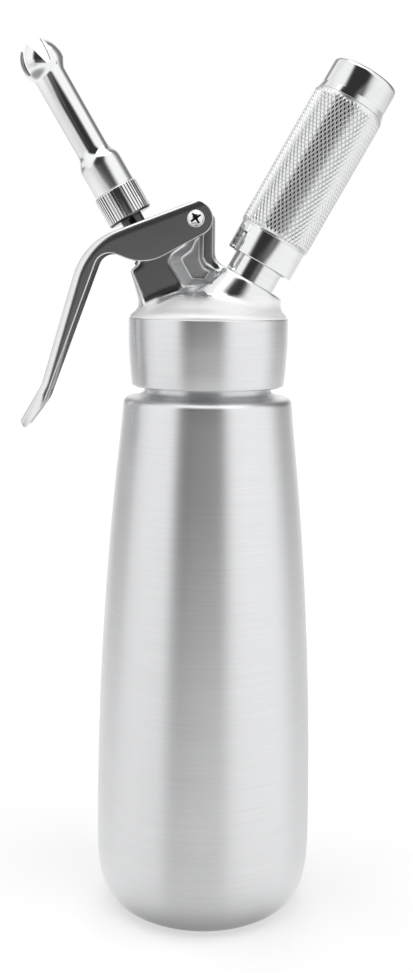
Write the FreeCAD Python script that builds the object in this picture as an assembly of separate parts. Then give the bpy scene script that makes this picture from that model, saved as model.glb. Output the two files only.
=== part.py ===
import FreeCAD, Part

import math
import os

from FreeCAD import Vector

# Whipped cream dispenser. Millimetres, +Z up, origin at the middle of the bottle's foot.
# The valve stem leans to -X and the charger holder to +X, both in the plane y = 0.
# Both axes start at one point inside the collar. Along them, heights are counted from that point.

# Bottle
bottle_radius = 40.0
belly_height = 25.0
wall_curve_radius = 1350.0
bottle_wall = 1.6
floor_thickness = 2.6
foot_radius = 28.0
foot_corner_out = 8.5
foot_corner_up = 18.0
shoulder_top = 191.0
shoulder_roll_share = 0.55
neck_radius = 24.4
neck_wall = 3.6
neck_waist_depth = 1.7
neck_flare = 1.8

# Screw thread between bottle and head, made as closed rings
neck_thread_gap = 0.08
neck_thread_rise = 3.3
neck_thread_pitch = 3.4
neck_thread_count = 4
neck_thread_depth = 0.8
neck_thread_width = 1.8
thread_crest_gap = 0.2
thread_side_gap = 0.2
thread_crest_share = 0.45

# Head casting: collar and dome
neck_groove = 3.7
collar_height = 24.3
collar_wall = 2.8
collar_spread = 1.1
collar_edge = 1.5
collar_mouth = 0.8
collar_brim = 1.2
ceiling_drop = 3.8
ceiling_lip = 0.4
gasket_thickness = 2.2
gasket_width = 4.0
gasket_gap = 0.3
dome_height = 10.0
dome_wall = 5.5
dome_rim_inset = 5.1
dome_rim_rise = 3.0
dome_brow_radius = 14.2
dome_brow_rise = 8.6
dome_crown_radius = 8.5
cavity_crown_radius = 14.0

# Head casting: valve tower and hinge lug
apex_drop = 12.5
stem_tilt = -30.5
tower_top = 38.6
tower_half_width = 8.2
tower_left = 9.2
tower_left_lean = 16.3
tower_corner = 4.5
tower_buried = 0.6
cheek_start = 4.5
cheek_height = 3.5
cheek_crest_across = 8.6
cheek_crest_height = 4.5
pivot_x = -4.7
pivot_rise = 46.3
lug_radius = 4.3
lug_right = 2.0
lug_corner = 1.5
lug_brow = 0.2
saddle_drop = 12.0
saddle_radius = 4.6
stem_boss_radius = 7.2
valve_seat = 9.0
pocket_depth = 2.8
pocket_mouth = [(-9.0, 1.8), (-2.8, 2.5), (2.3, 5.2), (2.7, -0.3), (5.3, -4.9), (2.8, -9.2),
                (-3.9, -11.2), (-9.4, -3.6)]
pocket_floor = [(-5.6, 1.0), (-1.5, 1.0), (1.8, 2.7), (1.8, -1.0), (3.7, -5.6), (2.5, -8.6),
                (-1.1, -8.8), (-5.5, -2.7)]

# Head casting: charger boss
holder_tilt = 29.2
boss_top = 29.4
boss_radius = 13.3
boss_base = 14.0
boss_draft = 19.0
port_boss_radius = 6.2

# Valve
stem_radius = 4.0
stem_bore = 2.4
stem_top = 63.0
running_gap = 0.06
overcut = 0.5
inlet_radius = 5.1
inlet_length = 5.5
guide_length = 5.0
spring_chamber_radius = 6.0
spring_length = 10.6
spring_wire = 0.8
spring_turns = 7
spring_wire_sides = 8
spring_seat_gap = 0.05
shoulder_thickness = 2.0
shoulder_radius = 5.6
port_radius = 1.3
port_count = 4
port_above_seat = 2.6
seal_thickness = 2.4
seal_radius = 6.4
valve_nut_height = 3.0
valve_nut_width = 9.0
stem_stub_radius = 2.4
o_ring_thickness = 1.6
bush_flange_radius = 7.0
bush_flange_height = 1.7
bush_flange_gap = 0.15
bush_clearance = 0.2
stem_collar_radius = 5.6
stem_collar_height = 1.8
stem_collar_top = 48.9

# Lever, a stamped channel
lever_thickness = 1.2
lever_half_width = 10.0
lever_bend = 2.1
lever_end_radius = 5.9
lever_lean = 20.8
lever_cheek_end = -62.0
lever_web_bends = [(-39.2, -8.6), (-54.2, -58.1), (-62.4, -71.1)]
lever_edge_bends = [(-17.5, -16.2), (-32.8, -10.4), (-52.9, -63.9), (-60.2, -74.0)]
lever_web_radii = (24.0, 15.0)
lever_edge_radii = (16.0, 5.5, 12.0)
lever_overrun = 14.0
lever_slot_gap = 0.35
lever_slot_travel = 1.5
lever_slot_depth = 4.0
pivot_sleeve_radius = 2.4
washer_radius = 3.4
washer_gap = 0.05
screw_head_radius = 3.1
screw_head_height = 2.0
screw_head_top_radius = 1.9
screw_radius = 1.5
screw_length = 13.0
screw_turn = 35.0
screw_slot_length = 3.6
screw_slot_width = 0.8
screw_slot_depth = 1.2
nut_head_radius = 3.4
nut_head_height = 1.8

# Nozzle and its adapter
adapter_bottom = 54.3
adapter_length = 10.9
adapter_radius = 8.2
adapter_floor = 3.5
adapter_chamfer = 0.8
adapter_edge = 0.4
adapter_gasket_thickness = 1.0
adapter_gasket_gap = 0.2
nozzle_thread_radius = 6.1
nozzle_base_radius = 7.45
nozzle_base_length = 10.5
nozzle_shoulder_length = 4.0
nozzle_tube_radius = 5.6
nozzle_tube_length = 29.4
nozzle_wall = 1.4
nozzle_seat_gap = 0.1
stem_room = 0.3
stem_room_length = 2.0
crown_length = 12.1
crown_radius = 7.3
crown_mouth_radius = 4.4
crown_wall = 0.9
crown_flare_out = 0.4
crown_flare_length = 2.2
crown_widest = 5.5
crown_swell = 3.4
crown_close = 2.6
crown_teeth = 5
crown_slot_width = 5.2
crown_slot_foot = 2.5
crown_slot_depth = 8.9
crown_slot_turn = -74.0

# Charger stud
stud_neck_radius = 9.15
stud_thread_radius = 10.0
stud_thread_gap = 0.08
stud_top = 49.0
stud_shank_radius = 7.0
stud_shank_length = 8.4
stud_gasket_thickness = 1.0
stud_gasket_radius = 8.4
stud_thread_start = 38.4
stud_thread_pitch = 2.2
stud_thread_count = 4
stud_thread_depth = 0.6
stud_thread_width = 1.2
stud_neck_inside = 0.9
stud_gasket_gap = 0.1
pin_body_radius = 2.6
pin_body_start = 1.0
pin_flange_radius = 4.4
pin_flange_height = 1.4
pin_tip_radius = 0.9
pin_tip_height = 3.0
pin_point_radius = 0.55
pin_bore = 0.45
pin_gasket_thickness = 1.2
pin_gasket_room = 0.6
pin_gasket_gap = 0.1
check_valve_radius = 4.2
check_valve_length = 7.0
check_stub_radius = 2.2
check_stub_length = 3.0
check_hole_drop = 1.2
check_sleeve_wall = 0.8
gas_channel = 1.2

# Charger holder
holder_rim = 36.1
holder_plain_length = 10.0
holder_plain_radius = 12.45
knurl_radius = 13.0
charger_tip_rise = 4.5
holder_bore = 9.3
holder_edge = 0.4
holder_step_gap = 0.6
knurl_edge = 0.5
vent_width = 4.4
vent_azimuth = 205.0
vent_margin = 1.2
cap_step_height = 2.3
cap_radius = 12.0
cap_length = 9.2
cap_round = 1.8
cap_wall = 3.2
cap_plug_radius = 10.6
cap_plug_length = 8.0
pad_thickness = 1.0
pad_gap = 0.3
charger_length = 65.0
charger_radius = 8.9
charger_neck_radius = 4.35
charger_neck_length = 9.2
charger_shoulder = 6.5
charger_wall = 1.5
charger_neck_gap = 0.3
charger_dome = 7.1
charger_hole_radius = 1.2

# Worked out from the sizes above
neck_waist_radius = neck_radius - neck_waist_depth
collar_bottom = shoulder_top + neck_groove
collar_top = collar_bottom + collar_height
collar_low_radius = neck_radius + collar_wall
collar_top_radius = collar_low_radius + collar_spread
dome_rim_radius = collar_top_radius - dome_rim_inset
neck_thread_start = collar_bottom + neck_thread_rise
neck_inner_radius = neck_radius - neck_wall
ceiling_height = collar_top - ceiling_drop
apex_height = collar_top - apex_drop
pivot_z = apex_height + pivot_rise
bottle_rim = ceiling_height - gasket_thickness
collar_bore = neck_radius + neck_thread_gap
guide_top = valve_seat + inlet_length + guide_length
spring_seat = guide_top
stem_shoulder = spring_seat + spring_length
bush_bottom = stem_shoulder + shoulder_thickness + bush_clearance
adapter_top = adapter_bottom + adapter_length
nozzle_foot = adapter_bottom + adapter_floor + adapter_gasket_thickness
nozzle_shoulder = adapter_top + nozzle_base_length
tube_start = nozzle_shoulder + nozzle_shoulder_length
crown_start = tube_start + nozzle_tube_length
crown_top = crown_start + crown_length
knurl_start = holder_rim + holder_plain_length
charger_tip = holder_rim + charger_tip_rise
charger_end = charger_tip + charger_length
cap_end = charger_end + pad_thickness + cap_wall
cap_start = cap_end - cap_length
knurl_end = cap_start - cap_step_height
pin_gasket_bottom = charger_tip - pin_gasket_gap - pin_gasket_thickness
shank_bottom = boss_top - stud_shank_length
check_bottom = shank_bottom - check_valve_length
lever_inner = lever_half_width - lever_thickness
pivot = Vector(pivot_x, 0, pivot_z)
UP = Vector(0, 0, 1)
LEFT_TURN = Vector(0, 1, 0)


# Small helpers

def lines(*points):
    """Straight edges through (radius, height) points."""
    corners = [Vector(r, 0, h) for r, h in points]
    return [Part.makeLine(a, b) for a, b in zip(corners, corners[1:])]


def curve(*points):
    """One smooth edge through (radius, height) points."""
    spline = Part.BSplineCurve()
    spline.interpolate([Vector(r, 0, h) for r, h in points])
    return [spline.toShape()]


def bezier(*poles):
    """One smooth edge that leaves and arrives along its outer poles."""
    bend = Part.BezierCurve()
    bend.setPoles([Vector(r, 0, h) for r, h in poles])
    return [bend.toShape()]


def spun(edges):
    """Solid of revolution about Z from a closed outline in the XZ plane."""
    outline = Part.Wire(Part.__sortEdges__(edges))
    solid = Part.Face(outline).revolve(Vector(), UP, 360)
    return solid


def disc(radius, low, high):
    return Part.makeCylinder(radius, high - low, Vector(0, 0, low))


def ring(outer, inner, low, high):
    return disc(outer, low, high).cut(disc(inner, low - overcut, high + overcut))


def rounded_ring(middle, thickness, height):
    return Part.makeTorus(middle, thickness / 2, Vector(0, 0, height))


def on_axis(shape, tilt):
    """Lean a shape made along Z onto one of the two axes of the head."""
    placed = shape.copy()
    placed.rotate(Vector(), LEFT_TURN, tilt)
    placed.translate(Vector(0, 0, apex_height))
    return placed


def on_stem(shape):
    return on_axis(shape, stem_tilt)


def on_holder(shape):
    return on_axis(shape, holder_tilt)


def stem_point(across, along):
    """Point of the XZ plane, from the stem axis' own measures."""
    lean = math.radians(stem_tilt)
    x = along * math.sin(lean) + across * math.cos(lean)
    z = along * math.cos(lean) - across * math.sin(lean)
    return Vector(x, 0, apex_height + z)


def thick_plate(outline, half_width):
    """Solid from an outline in the XZ plane, equally thick to both sides of it."""
    face = Part.Face(outline)
    face.translate(Vector(0, -half_width, 0))
    return face.extrude(Vector(0, 2 * half_width, 0))


def thread_rings(outer, inner, start, pitch, count, width):
    """Closed thread ridges with sloping flanks."""
    rings = []
    for turn in range(count):
        middle = start + turn * pitch
        top = width / 2
        foot = top * thread_crest_share
        edges = lines((outer, middle - top), (inner, middle - foot), (inner, middle + foot),
                      (outer, middle + top), (outer, middle - top))
        rings.append(spun(edges))
    return rings


# Bottle

def wall_radius(height, inset):
    rise = height - belly_height
    drop = wall_curve_radius - math.sqrt(wall_curve_radius ** 2 - rise ** 2)
    return bottle_radius - inset - drop


def bottle_skin(inset, low, high):
    """Solid inside the bottle's skin, moved in by inset, from a flat floor to an open neck."""
    belly = bottle_radius - inset
    foot = foot_radius - inset / 2
    neck = neck_radius if inset == 0 else neck_inner_radius
    roll = shoulder_roll_share * (wall_radius(shoulder_top, 0) - neck_radius)
    shoulder_start = shoulder_top - roll
    shoulder = wall_radius(shoulder_start, inset)
    middle = (belly_height + shoulder_start) / 2
    slope = (shoulder_start - belly_height) / wall_curve_radius
    brow = shoulder_top - inset
    edges = lines((0, low), (foot, low))
    edges += bezier((foot, low), (foot + foot_corner_out, low),
                    (belly, belly_height - foot_corner_up), (belly, belly_height))
    wall = Part.Arc(Vector(belly, 0, belly_height),
                    Vector(wall_radius(middle, inset), 0, middle),
                    Vector(shoulder, 0, shoulder_start))
    edges.append(wall.toShape())
    reach = roll / 2
    edges += bezier((shoulder, shoulder_start),
                    (shoulder - slope * reach, shoulder_start + reach),
                    (shoulder - reach, brow),
                    (shoulder - roll, brow))
    edges += lines((shoulder - roll, brow), (neck, brow), (neck, high), (0, high),
                   (0, low))
    return spun(edges)


def neck_waist():
    """Cutter for the hollow that runs round the neck below the collar."""
    outer = neck_radius + overcut
    thread_foot = collar_bottom + neck_flare
    edges = bezier((outer, shoulder_top), (neck_waist_radius, shoulder_top),
                   (neck_waist_radius, shoulder_top + neck_flare / 2),
                   (neck_waist_radius, shoulder_top + neck_flare))
    edges += lines((neck_waist_radius, shoulder_top + neck_flare),
                   (neck_waist_radius, collar_bottom + neck_flare / 2), (outer, thread_foot),
                   (outer, shoulder_top))
    return spun(edges)


def bottle():
    outside = bottle_skin(0, 0, bottle_rim)
    inside = bottle_skin(bottle_wall, floor_thickness, bottle_rim + overcut)
    grooves = thread_rings(neck_radius + overcut, neck_radius - neck_thread_depth,
                           neck_thread_start, neck_thread_pitch, neck_thread_count,
                           neck_thread_width)
    return outside.cut([inside, neck_waist()] + grooves)


# Head casting

def collar_and_dome():
    brim = collar_top - collar_brim
    crown = collar_top + dome_height
    edges = lines((0, collar_bottom), (collar_low_radius - collar_edge, collar_bottom))
    edges += bezier((collar_low_radius - collar_edge, collar_bottom),
                    (collar_low_radius, collar_bottom),
                    (collar_low_radius, collar_bottom + collar_edge))
    edges += bezier((collar_low_radius, collar_bottom + collar_edge),
                    (collar_top_radius, collar_bottom + collar_height / 2),
                    (collar_top_radius, brim))
    edges += bezier((collar_top_radius, brim),
                    (collar_top_radius, collar_top + collar_mouth),
                    (dome_rim_radius, collar_top + dome_rim_rise))
    edges += bezier((dome_rim_radius, collar_top + dome_rim_rise),
                    (dome_brow_radius, collar_top + dome_brow_rise),
                    (dome_crown_radius, crown), (0, crown))
    edges += lines((0, crown), (0, collar_bottom))
    return spun(edges)


def collar_cavity():
    lip = neck_inner_radius - ceiling_lip
    roof = collar_top + dome_height - dome_wall
    low = collar_bottom - overcut
    edges = lines((0, low), (collar_bore + collar_mouth, low),
                  (collar_bore, collar_bottom + collar_mouth), (collar_bore, ceiling_height),
                  (lip, ceiling_height), (lip, ceiling_height + overcut))
    edges += bezier((lip, ceiling_height + overcut), (cavity_crown_radius, roof), (0, roof))
    edges += lines((0, roof), (0, low))
    return spun(edges)


def tower_outline():
    """Side view of the valve tower with its hinge lug, down into the dome."""
    lean = math.radians(tower_left_lean)
    corner = stem_point(-tower_left, tower_top)
    buried = collar_top - tower_buried
    foot = Vector(corner.x + (corner.z - buried) * math.tan(lean), 0, buried)
    cheek_foot = stem_point(-cheek_start, tower_top)
    cheek_top = stem_point(-cheek_start, tower_top + cheek_height)
    crest = stem_point(cheek_crest_across, tower_top + cheek_crest_height)
    up = (stem_point(0, 1) - stem_point(0, 0)) * lug_radius
    lug_left = pivot + up
    lug_mid = pivot + (up + Vector(0, 0, lug_radius)).normalize() * lug_radius
    lug_top = pivot + Vector(0, 0, lug_radius)
    brow = Vector(lug_right, 0, pivot.z + lug_brow)
    waist = Vector(lug_right, 0, pivot.z - saddle_drop)
    rise = saddle_radius * math.sqrt(0.5)
    bend_mid = Vector(lug_right + saddle_radius - rise, 0, waist.z - rise)
    saddle = Vector(lug_right + saddle_radius, 0, waist.z - saddle_radius)
    deep = Vector(saddle.x, 0, buried)
    chain = [foot, corner, cheek_foot, cheek_top, crest, lug_left]
    edges = [Part.makeLine(a, b) for a, b in zip(chain, chain[1:])]
    edges.append(Part.Arc(lug_left, lug_mid, lug_top).toShape())
    edges.append(Part.makeLine(lug_top, brow))
    edges.append(Part.makeLine(brow, waist))
    edges.append(Part.Arc(waist, bend_mid, saddle).toShape())
    edges.append(Part.makeLine(saddle, deep))
    edges.append(Part.makeLine(deep, foot))
    return Part.Wire(edges), (foot + corner) / 2, (brow + waist) / 2


def valve_tower():
    outline, left_middle, right_middle = tower_outline()
    plate = thick_plate(outline, tower_half_width)
    left_edges = [e for e in plate.Edges if runs_through(e, left_middle)]
    plate = plate.makeFillet(tower_corner, left_edges)
    right_edges = [e for e in plate.Edges if runs_through(e, right_middle)]
    return plate.makeFillet(lug_corner, right_edges)


def runs_through(edge, middle):
    """True for the two long edges of a side face whose side-view middle is given."""
    box = edge.BoundBox
    centre = Vector(box.Center.x, 0, box.Center.z)
    return box.YLength < 0.01 and centre.distanceToPoint(middle) < 0.05


def pocket(side):
    """Sloping-walled recess that lightens one face of the tower."""
    turn = pivot + Vector(0, 0, -saddle_drop)
    rings = []
    for points, level in ((pocket_mouth, tower_half_width + overcut),
                          (pocket_floor, tower_half_width - pocket_depth)):
        corners = [Vector(turn.x + x, side * level, turn.z + z) for x, z in points]
        rings.append(Part.makePolygon(corners + corners[:1]))
    return Part.makeLoft(rings, True, True)


def charger_boss():
    spread = math.tan(math.radians(boss_draft)) * (boss_top - boss_base)
    return on_holder(Part.makeCone(boss_radius + spread, boss_radius, boss_top - boss_base,
                                   Vector(0, 0, boss_base)))


def valve_bores():
    bores = [
        disc(inlet_radius, 0, valve_seat + inlet_length),
        disc(stem_radius + running_gap, valve_seat, guide_top + overcut),
        disc(spring_chamber_radius, spring_seat, tower_top + overcut),
        disc(bush_flange_radius + bush_flange_gap, tower_top, stem_top),
    ]
    return [on_stem(bore) for bore in bores]


def charger_bores():
    gasket_floor = boss_top - stud_gasket_thickness
    bores = [
        disc(check_valve_radius, 0, shank_bottom + overcut),
        disc(stud_shank_radius, shank_bottom, boss_top + overcut),
        disc(stud_gasket_radius, gasket_floor, boss_top + overcut),
    ]
    return [on_holder(bore) for bore in bores]


def pivot_bore():
    radius = pivot_sleeve_radius + running_gap
    start = pivot - LEFT_TURN * 2 * tower_half_width
    return Part.makeCylinder(radius, 4 * tower_half_width, start, LEFT_TURN)


def head_casting():
    shell = collar_and_dome().fuse([valve_tower(), charger_boss()])
    shell = shell.cut(collar_cavity())
    inner_top = collar_top + dome_height - apex_height
    stem_boss = on_stem(disc(stem_boss_radius, valve_seat, inner_top))
    port_boss = on_holder(disc(port_boss_radius, check_bottom, inner_top))
    body = shell.fuse([stem_boss, port_boss])
    crest = neck_radius - neck_thread_depth + thread_crest_gap
    ridges = thread_rings(collar_bore + overcut, crest, neck_thread_start, neck_thread_pitch,
                          neck_thread_count, neck_thread_width - 2 * thread_side_gap)
    body = body.fuse(ridges)
    cuts = valve_bores() + charger_bores() + [pivot_bore(), pocket(-1), pocket(1)]
    return body.cut(cuts)


def head_gasket():
    outer = collar_bore - gasket_gap
    return ring(outer, outer - gasket_width, bottle_rim, ceiling_height)


# Valve

def valve_stem():
    shank = disc(stem_radius, valve_seat, stem_top)
    shoulder = disc(shoulder_radius, stem_shoulder, stem_shoulder + shoulder_thickness)
    stub = disc(stem_stub_radius, valve_seat - seal_thickness - valve_nut_height, valve_seat)
    stem = shank.fuse([shoulder, stub])
    port_height = valve_seat + port_above_seat
    passage = disc(stem_bore, port_height - port_radius, stem_top + overcut)
    groove_height = valve_seat + inlet_length + guide_length / 2
    groove = ring(stem_radius + overcut, stem_radius - o_ring_thickness + running_gap,
                  groove_height - o_ring_thickness / 2, groove_height + o_ring_thickness / 2)
    ports = []
    for turn in range(port_count):
        port = Part.makeCylinder(port_radius, 2 * stem_radius, Vector(0, 0, port_height),
                                 Vector(1, 0, 0))
        port.rotate(Vector(), UP, turn * 360 / port_count)
        ports.append(port)
    return on_stem(stem.cut([passage, groove] + ports))


def stem_o_ring():
    height = valve_seat + inlet_length + guide_length / 2
    middle = stem_radius - o_ring_thickness / 2 + running_gap / 2
    return on_stem(rounded_ring(middle, o_ring_thickness - running_gap, height))


def valve_seal():
    return on_stem(ring(seal_radius, stem_stub_radius, valve_seat - seal_thickness, valve_seat))


def valve_nut():
    top = valve_seat - seal_thickness
    corner = valve_nut_width / math.sqrt(3)
    corners = [Vector(corner * math.cos(math.radians(60 * i)),
                      corner * math.sin(math.radians(60 * i)), top - valve_nut_height)
               for i in range(6)]
    block = Part.Face(Part.makePolygon(corners + corners[:1])).extrude(UP * valve_nut_height)
    hole = disc(stem_stub_radius, top - valve_nut_height - overcut, top + overcut)
    return on_stem(block.cut(hole))


def valve_spring():
    radius = (stem_radius + spring_chamber_radius) / 2
    rise = spring_length - spring_wire - 2 * spring_seat_gap
    path = Part.makeHelix(rise / spring_turns, rise, radius)
    corners = []
    for side in range(spring_wire_sides):
        angle = 2 * math.pi * side / spring_wire_sides
        corners.append(Vector(radius + spring_wire / 2 * math.cos(angle), 0,
                              spring_wire / 2 * math.sin(angle)))
    section = Part.makePolygon(corners + corners[:1])
    coil = Part.Wire(path).makePipeShell([section], True, True)
    coil.translate(UP * (spring_seat + spring_seat_gap + spring_wire / 2))
    return on_stem(coil)


def stem_bush():
    body = disc(spring_chamber_radius, bush_bottom, tower_top)
    flange_top = tower_top + bush_flange_height
    flange = disc(bush_flange_radius, tower_top, flange_top)
    bore = disc(stem_radius + running_gap, bush_bottom - overcut, flange_top + overcut)
    return on_stem(body.fuse(flange).cut(bore))


def stem_collar():
    return on_stem(ring(stem_collar_radius, stem_radius, stem_collar_top - stem_collar_height,
                        stem_collar_top))


# Lever

def moved_corners(corners, distance):
    """A path of straight runs moved sideways, to its left for a positive distance."""
    normals = []
    for (x0, z0), (x1, z1) in zip(corners, corners[1:]):
        length = math.hypot(x1 - x0, z1 - z0)
        normals.append(((z0 - z1) / length, (x1 - x0) / length))
    moved = []
    for i, (x, z) in enumerate(corners):
        ax, az = normals[max(i - 1, 0)]
        bx, bz = normals[min(i, len(normals) - 1)]
        share = distance / (1 + ax * bx + az * bz)
        moved.append((x + (ax + bx) * share, z + (az + bz) * share))
    return moved


def rounded_path(corners, radii):
    """Edges along straight runs, with an arc of the given radius at each inner corner."""
    points = [Vector(x, 0, z) for x, z in corners]
    edges = []
    start = points[0]
    for before, corner, after, radius in zip(points, points[1:], points[2:], radii):
        back = (before - corner).normalize()
        on = (after - corner).normalize()
        half = back.getAngle(on) / 2
        reach = radius / math.tan(half)
        middle = (back + on).normalize() * (radius / math.sin(half) - radius)
        edges.append(Part.makeLine(start, corner + back * reach))
        edges.append(Part.Arc(corner + back * reach, corner + middle, corner + on * reach).toShape())
        start = corner + on * reach
    edges.append(Part.makeLine(start, points[-1]))
    return edges


def lever_web():
    """Corners of the web's outer face in side view, from the pivot end to the tip."""
    lean = math.radians(lever_lean)
    start = (-lever_end_radius * math.sin(lean), lever_end_radius * math.cos(lean))
    return [start] + lever_web_bends


def lever_edge():
    """Corners of the cheeks' free edge in side view, from the pivot end to the tip."""
    turn = math.radians(lever_cheek_end)
    start = (lever_end_radius * math.cos(turn), lever_end_radius * math.sin(turn))
    return [start] + lever_edge_bends


def lever_outline():
    """Closed side view of the lever: web, round pivot end, free edge and tip."""
    web = lever_web()
    edge = lever_edge()
    nose = Part.Arc(Vector(web[0][0], 0, web[0][1]), Vector(lever_end_radius, 0, 0),
                    Vector(edge[0][0], 0, edge[0][1])).toShape()
    chain = rounded_path(web, lever_web_radii) + lines(web[-1], edge[-1])
    chain += rounded_path(edge, lever_edge_radii) + [nose]
    return Part.Wire(Part.__sortEdges__(chain))


def lengthened(corners, distance):
    """The same path with its two ends drawn out straight."""
    (ax, az), (bx, bz) = corners[:2]
    (cx, cz), (dx, dz) = corners[-2:]
    first = distance / math.hypot(ax - bx, az - bz)
    last = distance / math.hypot(dx - cx, dz - cz)
    start = (ax + (ax - bx) * first, az + (az - bz) * first)
    end = (dx + (dx - cx) * last, dz + (dz - cz) * last)
    return [start] + corners[1:-1] + [end]


def bent_block(corners, radii, half_width, bend):
    """Solid below a path, longer than the lever, with its two long top corners rounded."""
    path = lengthened(corners, lever_overrun)
    top = path[0]
    low = path[-1]
    edges = rounded_path(path, radii)
    middles = [edge.valueAt((edge.FirstParameter + edge.LastParameter) / 2) for edge in edges]
    closing = lines(low, (top[0], low[1]), top)
    block = thick_plate(Part.Wire(Part.__sortEdges__(edges + closing)), half_width)
    return block.makeFillet(bend, [e for e in block.Edges if lies_beside(e, middles)])


def lies_beside(edge, middles):
    """True where the edge's middle has the same side view as one of the given points."""
    if edge.BoundBox.YLength > 0.01:
        return False
    middle = edge.valueAt((edge.FirstParameter + edge.LastParameter) / 2)
    side_view = Vector(middle.x, 0, middle.z)
    return min(side_view.distanceToPoint(point) for point in middles) < 0.01


def lever_channel():
    """Bent sheet with equal thickness in the web, the bends and the cheeks."""
    elbow, knee = lever_web_radii
    web = lever_web()
    outside = bent_block(web, lever_web_radii, lever_half_width, lever_bend)
    inside = bent_block(moved_corners(web, lever_thickness),
                        (elbow - lever_thickness, knee + lever_thickness),
                        lever_inner, lever_bend - lever_thickness)
    side_view = thick_plate(lever_outline(), lever_half_width)
    return side_view.common(outside).cut(inside)


def lever_slot():
    """Slot in the web that the stem passes through while the lever swings."""
    radius = stem_radius + lever_slot_gap
    low = stem_collar_top - lever_slot_depth
    high = adapter_bottom
    near = disc(radius, low, high)
    far = disc(radius, low, high)
    far.translate(Vector(lever_slot_travel, 0, 0))
    between = Part.makeBox(lever_slot_travel, 2 * radius, high - low, Vector(0, -radius, low))
    return on_stem(near.fuse([far, between]))


def lever():
    channel = lever_channel()
    channel.translate(pivot)
    screw_hole = cross_pin(screw_radius, -lever_half_width - overcut, 0)
    sleeve_hole = cross_pin(pivot_sleeve_radius, 0, lever_half_width + overcut)
    return channel.cut([lever_slot(), screw_hole, sleeve_hole])


# Pivot

def cross_pin(radius, start, end):
    """Cylinder on the pivot axis between two distances from the middle."""
    return Part.makeCylinder(radius, end - start, pivot + LEFT_TURN * start, LEFT_TURN)


def pivot_screw():
    face = -lever_half_width
    top = face - screw_head_height
    head = Part.makeCone(screw_head_radius, screw_head_top_radius, screw_head_height,
                         pivot + LEFT_TURN * face, -LEFT_TURN)
    shank = cross_pin(screw_radius, face, face + screw_length)
    cuts = []
    for angle in (screw_turn, screw_turn + 90):
        corner = pivot + Vector(-screw_slot_length / 2, top - overcut, -screw_slot_width / 2)
        slot = Part.makeBox(screw_slot_length, overcut + screw_slot_depth, screw_slot_width, corner)
        slot.rotate(pivot, LEFT_TURN, angle)
        cuts.append(slot)
    return head.fuse(shank).cut(cuts)


def pivot_nut():
    sleeve = cross_pin(pivot_sleeve_radius, -lever_inner, lever_half_width)
    head = cross_pin(nut_head_radius, lever_half_width, lever_half_width + nut_head_height)
    thread = cross_pin(screw_radius, -lever_inner - overcut, screw_length - lever_half_width)
    return sleeve.fuse(head).cut(thread)


def pivot_washers():
    """Thin washers on the sleeve, between the lug and the lever's cheeks."""
    pair = []
    for side in (-1, 1):
        low, high = sorted((side * (tower_half_width + washer_gap), side * lever_inner))
        hole = cross_pin(pivot_sleeve_radius, low - overcut, high + overcut)
        pair.append(cross_pin(washer_radius, low, high).cut(hole))
    return Part.makeCompound(pair)


# Nozzle and adapter

def nozzle_adapter():
    inner = nozzle_thread_radius + running_gap
    floor_top = adapter_bottom + adapter_floor
    bore = stem_radius + running_gap
    low = adapter_bottom
    edges = lines((bore, low), (adapter_radius - adapter_chamfer, low),
                  (adapter_radius, low + adapter_chamfer),
                  (adapter_radius, adapter_top - adapter_edge),
                  (adapter_radius - adapter_edge, adapter_top), (inner, adapter_top),
                  (inner, floor_top),
                  (bore, floor_top), (bore, low))
    return on_stem(spun(edges))


def adapter_gasket():
    low = adapter_bottom + adapter_floor
    return on_stem(ring(nozzle_thread_radius - adapter_gasket_gap,
                        stem_radius + adapter_gasket_gap, low, low + adapter_gasket_thickness))


def nozzle():
    seat = adapter_top + nozzle_seat_gap
    foot = nozzle_foot + nozzle_seat_gap
    stem_space = stem_radius + stem_room
    room_end = stem_top + stem_room_length
    bore = nozzle_tube_radius - nozzle_wall
    shoulder_mid = nozzle_shoulder + nozzle_shoulder_length / 2
    edges = lines((stem_space, foot), (nozzle_thread_radius, foot), (nozzle_thread_radius, seat),
                  (nozzle_base_radius, seat), (nozzle_base_radius, nozzle_shoulder))
    edges += bezier((nozzle_base_radius, nozzle_shoulder), (nozzle_base_radius, shoulder_mid),
                    (nozzle_tube_radius, shoulder_mid), (nozzle_tube_radius, tube_start))
    edges += lines((nozzle_tube_radius, tube_start), (nozzle_tube_radius, crown_start))
    edges += crown_skin(nozzle_tube_radius, 0)
    edges += lines((crown_mouth_radius, crown_top), (crown_mouth_radius - crown_wall, crown_top))
    edges += crown_skin(bore, crown_wall)
    edges += lines((bore, crown_start), (bore, room_end), (stem_space, room_end - stem_room),
                   (stem_space, foot))
    return on_stem(spun(edges).cut(crown_slots()))


def crown_skin(start_radius, inset):
    """Outer or inner side view of the crown: it swells, then closes towards the mouth."""
    flare = crown_start + crown_flare_length
    bulge = crown_start + crown_widest
    widest = crown_radius - inset
    edges = bezier((start_radius, crown_start), (start_radius + crown_flare_out, flare),
                   (widest, bulge - crown_swell), (widest, bulge))
    return edges + bezier((widest, bulge), (widest, bulge + crown_close),
                          (crown_mouth_radius - inset, crown_top))


def crown_slots():
    """Slots between the crown's teeth, wider at the mouth."""
    slots = []
    low = crown_top - crown_slot_depth
    high = crown_top + overcut
    foot = crown_slot_foot / 2
    half = crown_slot_width / 2
    for tooth in range(crown_teeth):
        corners = [Vector(0, -foot, low), Vector(0, foot, low), Vector(0, half, high),
                   Vector(0, -half, high)]
        wedge = Part.Face(Part.makePolygon(corners + corners[:1]))
        slot = wedge.extrude(Vector(2 * crown_radius, 0, 0))
        slot.rotate(Vector(), UP, crown_slot_turn + tooth * 360 / crown_teeth)
        slots.append(slot)
    return slots


# Charger stud, piercing pin and check valve

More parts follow.
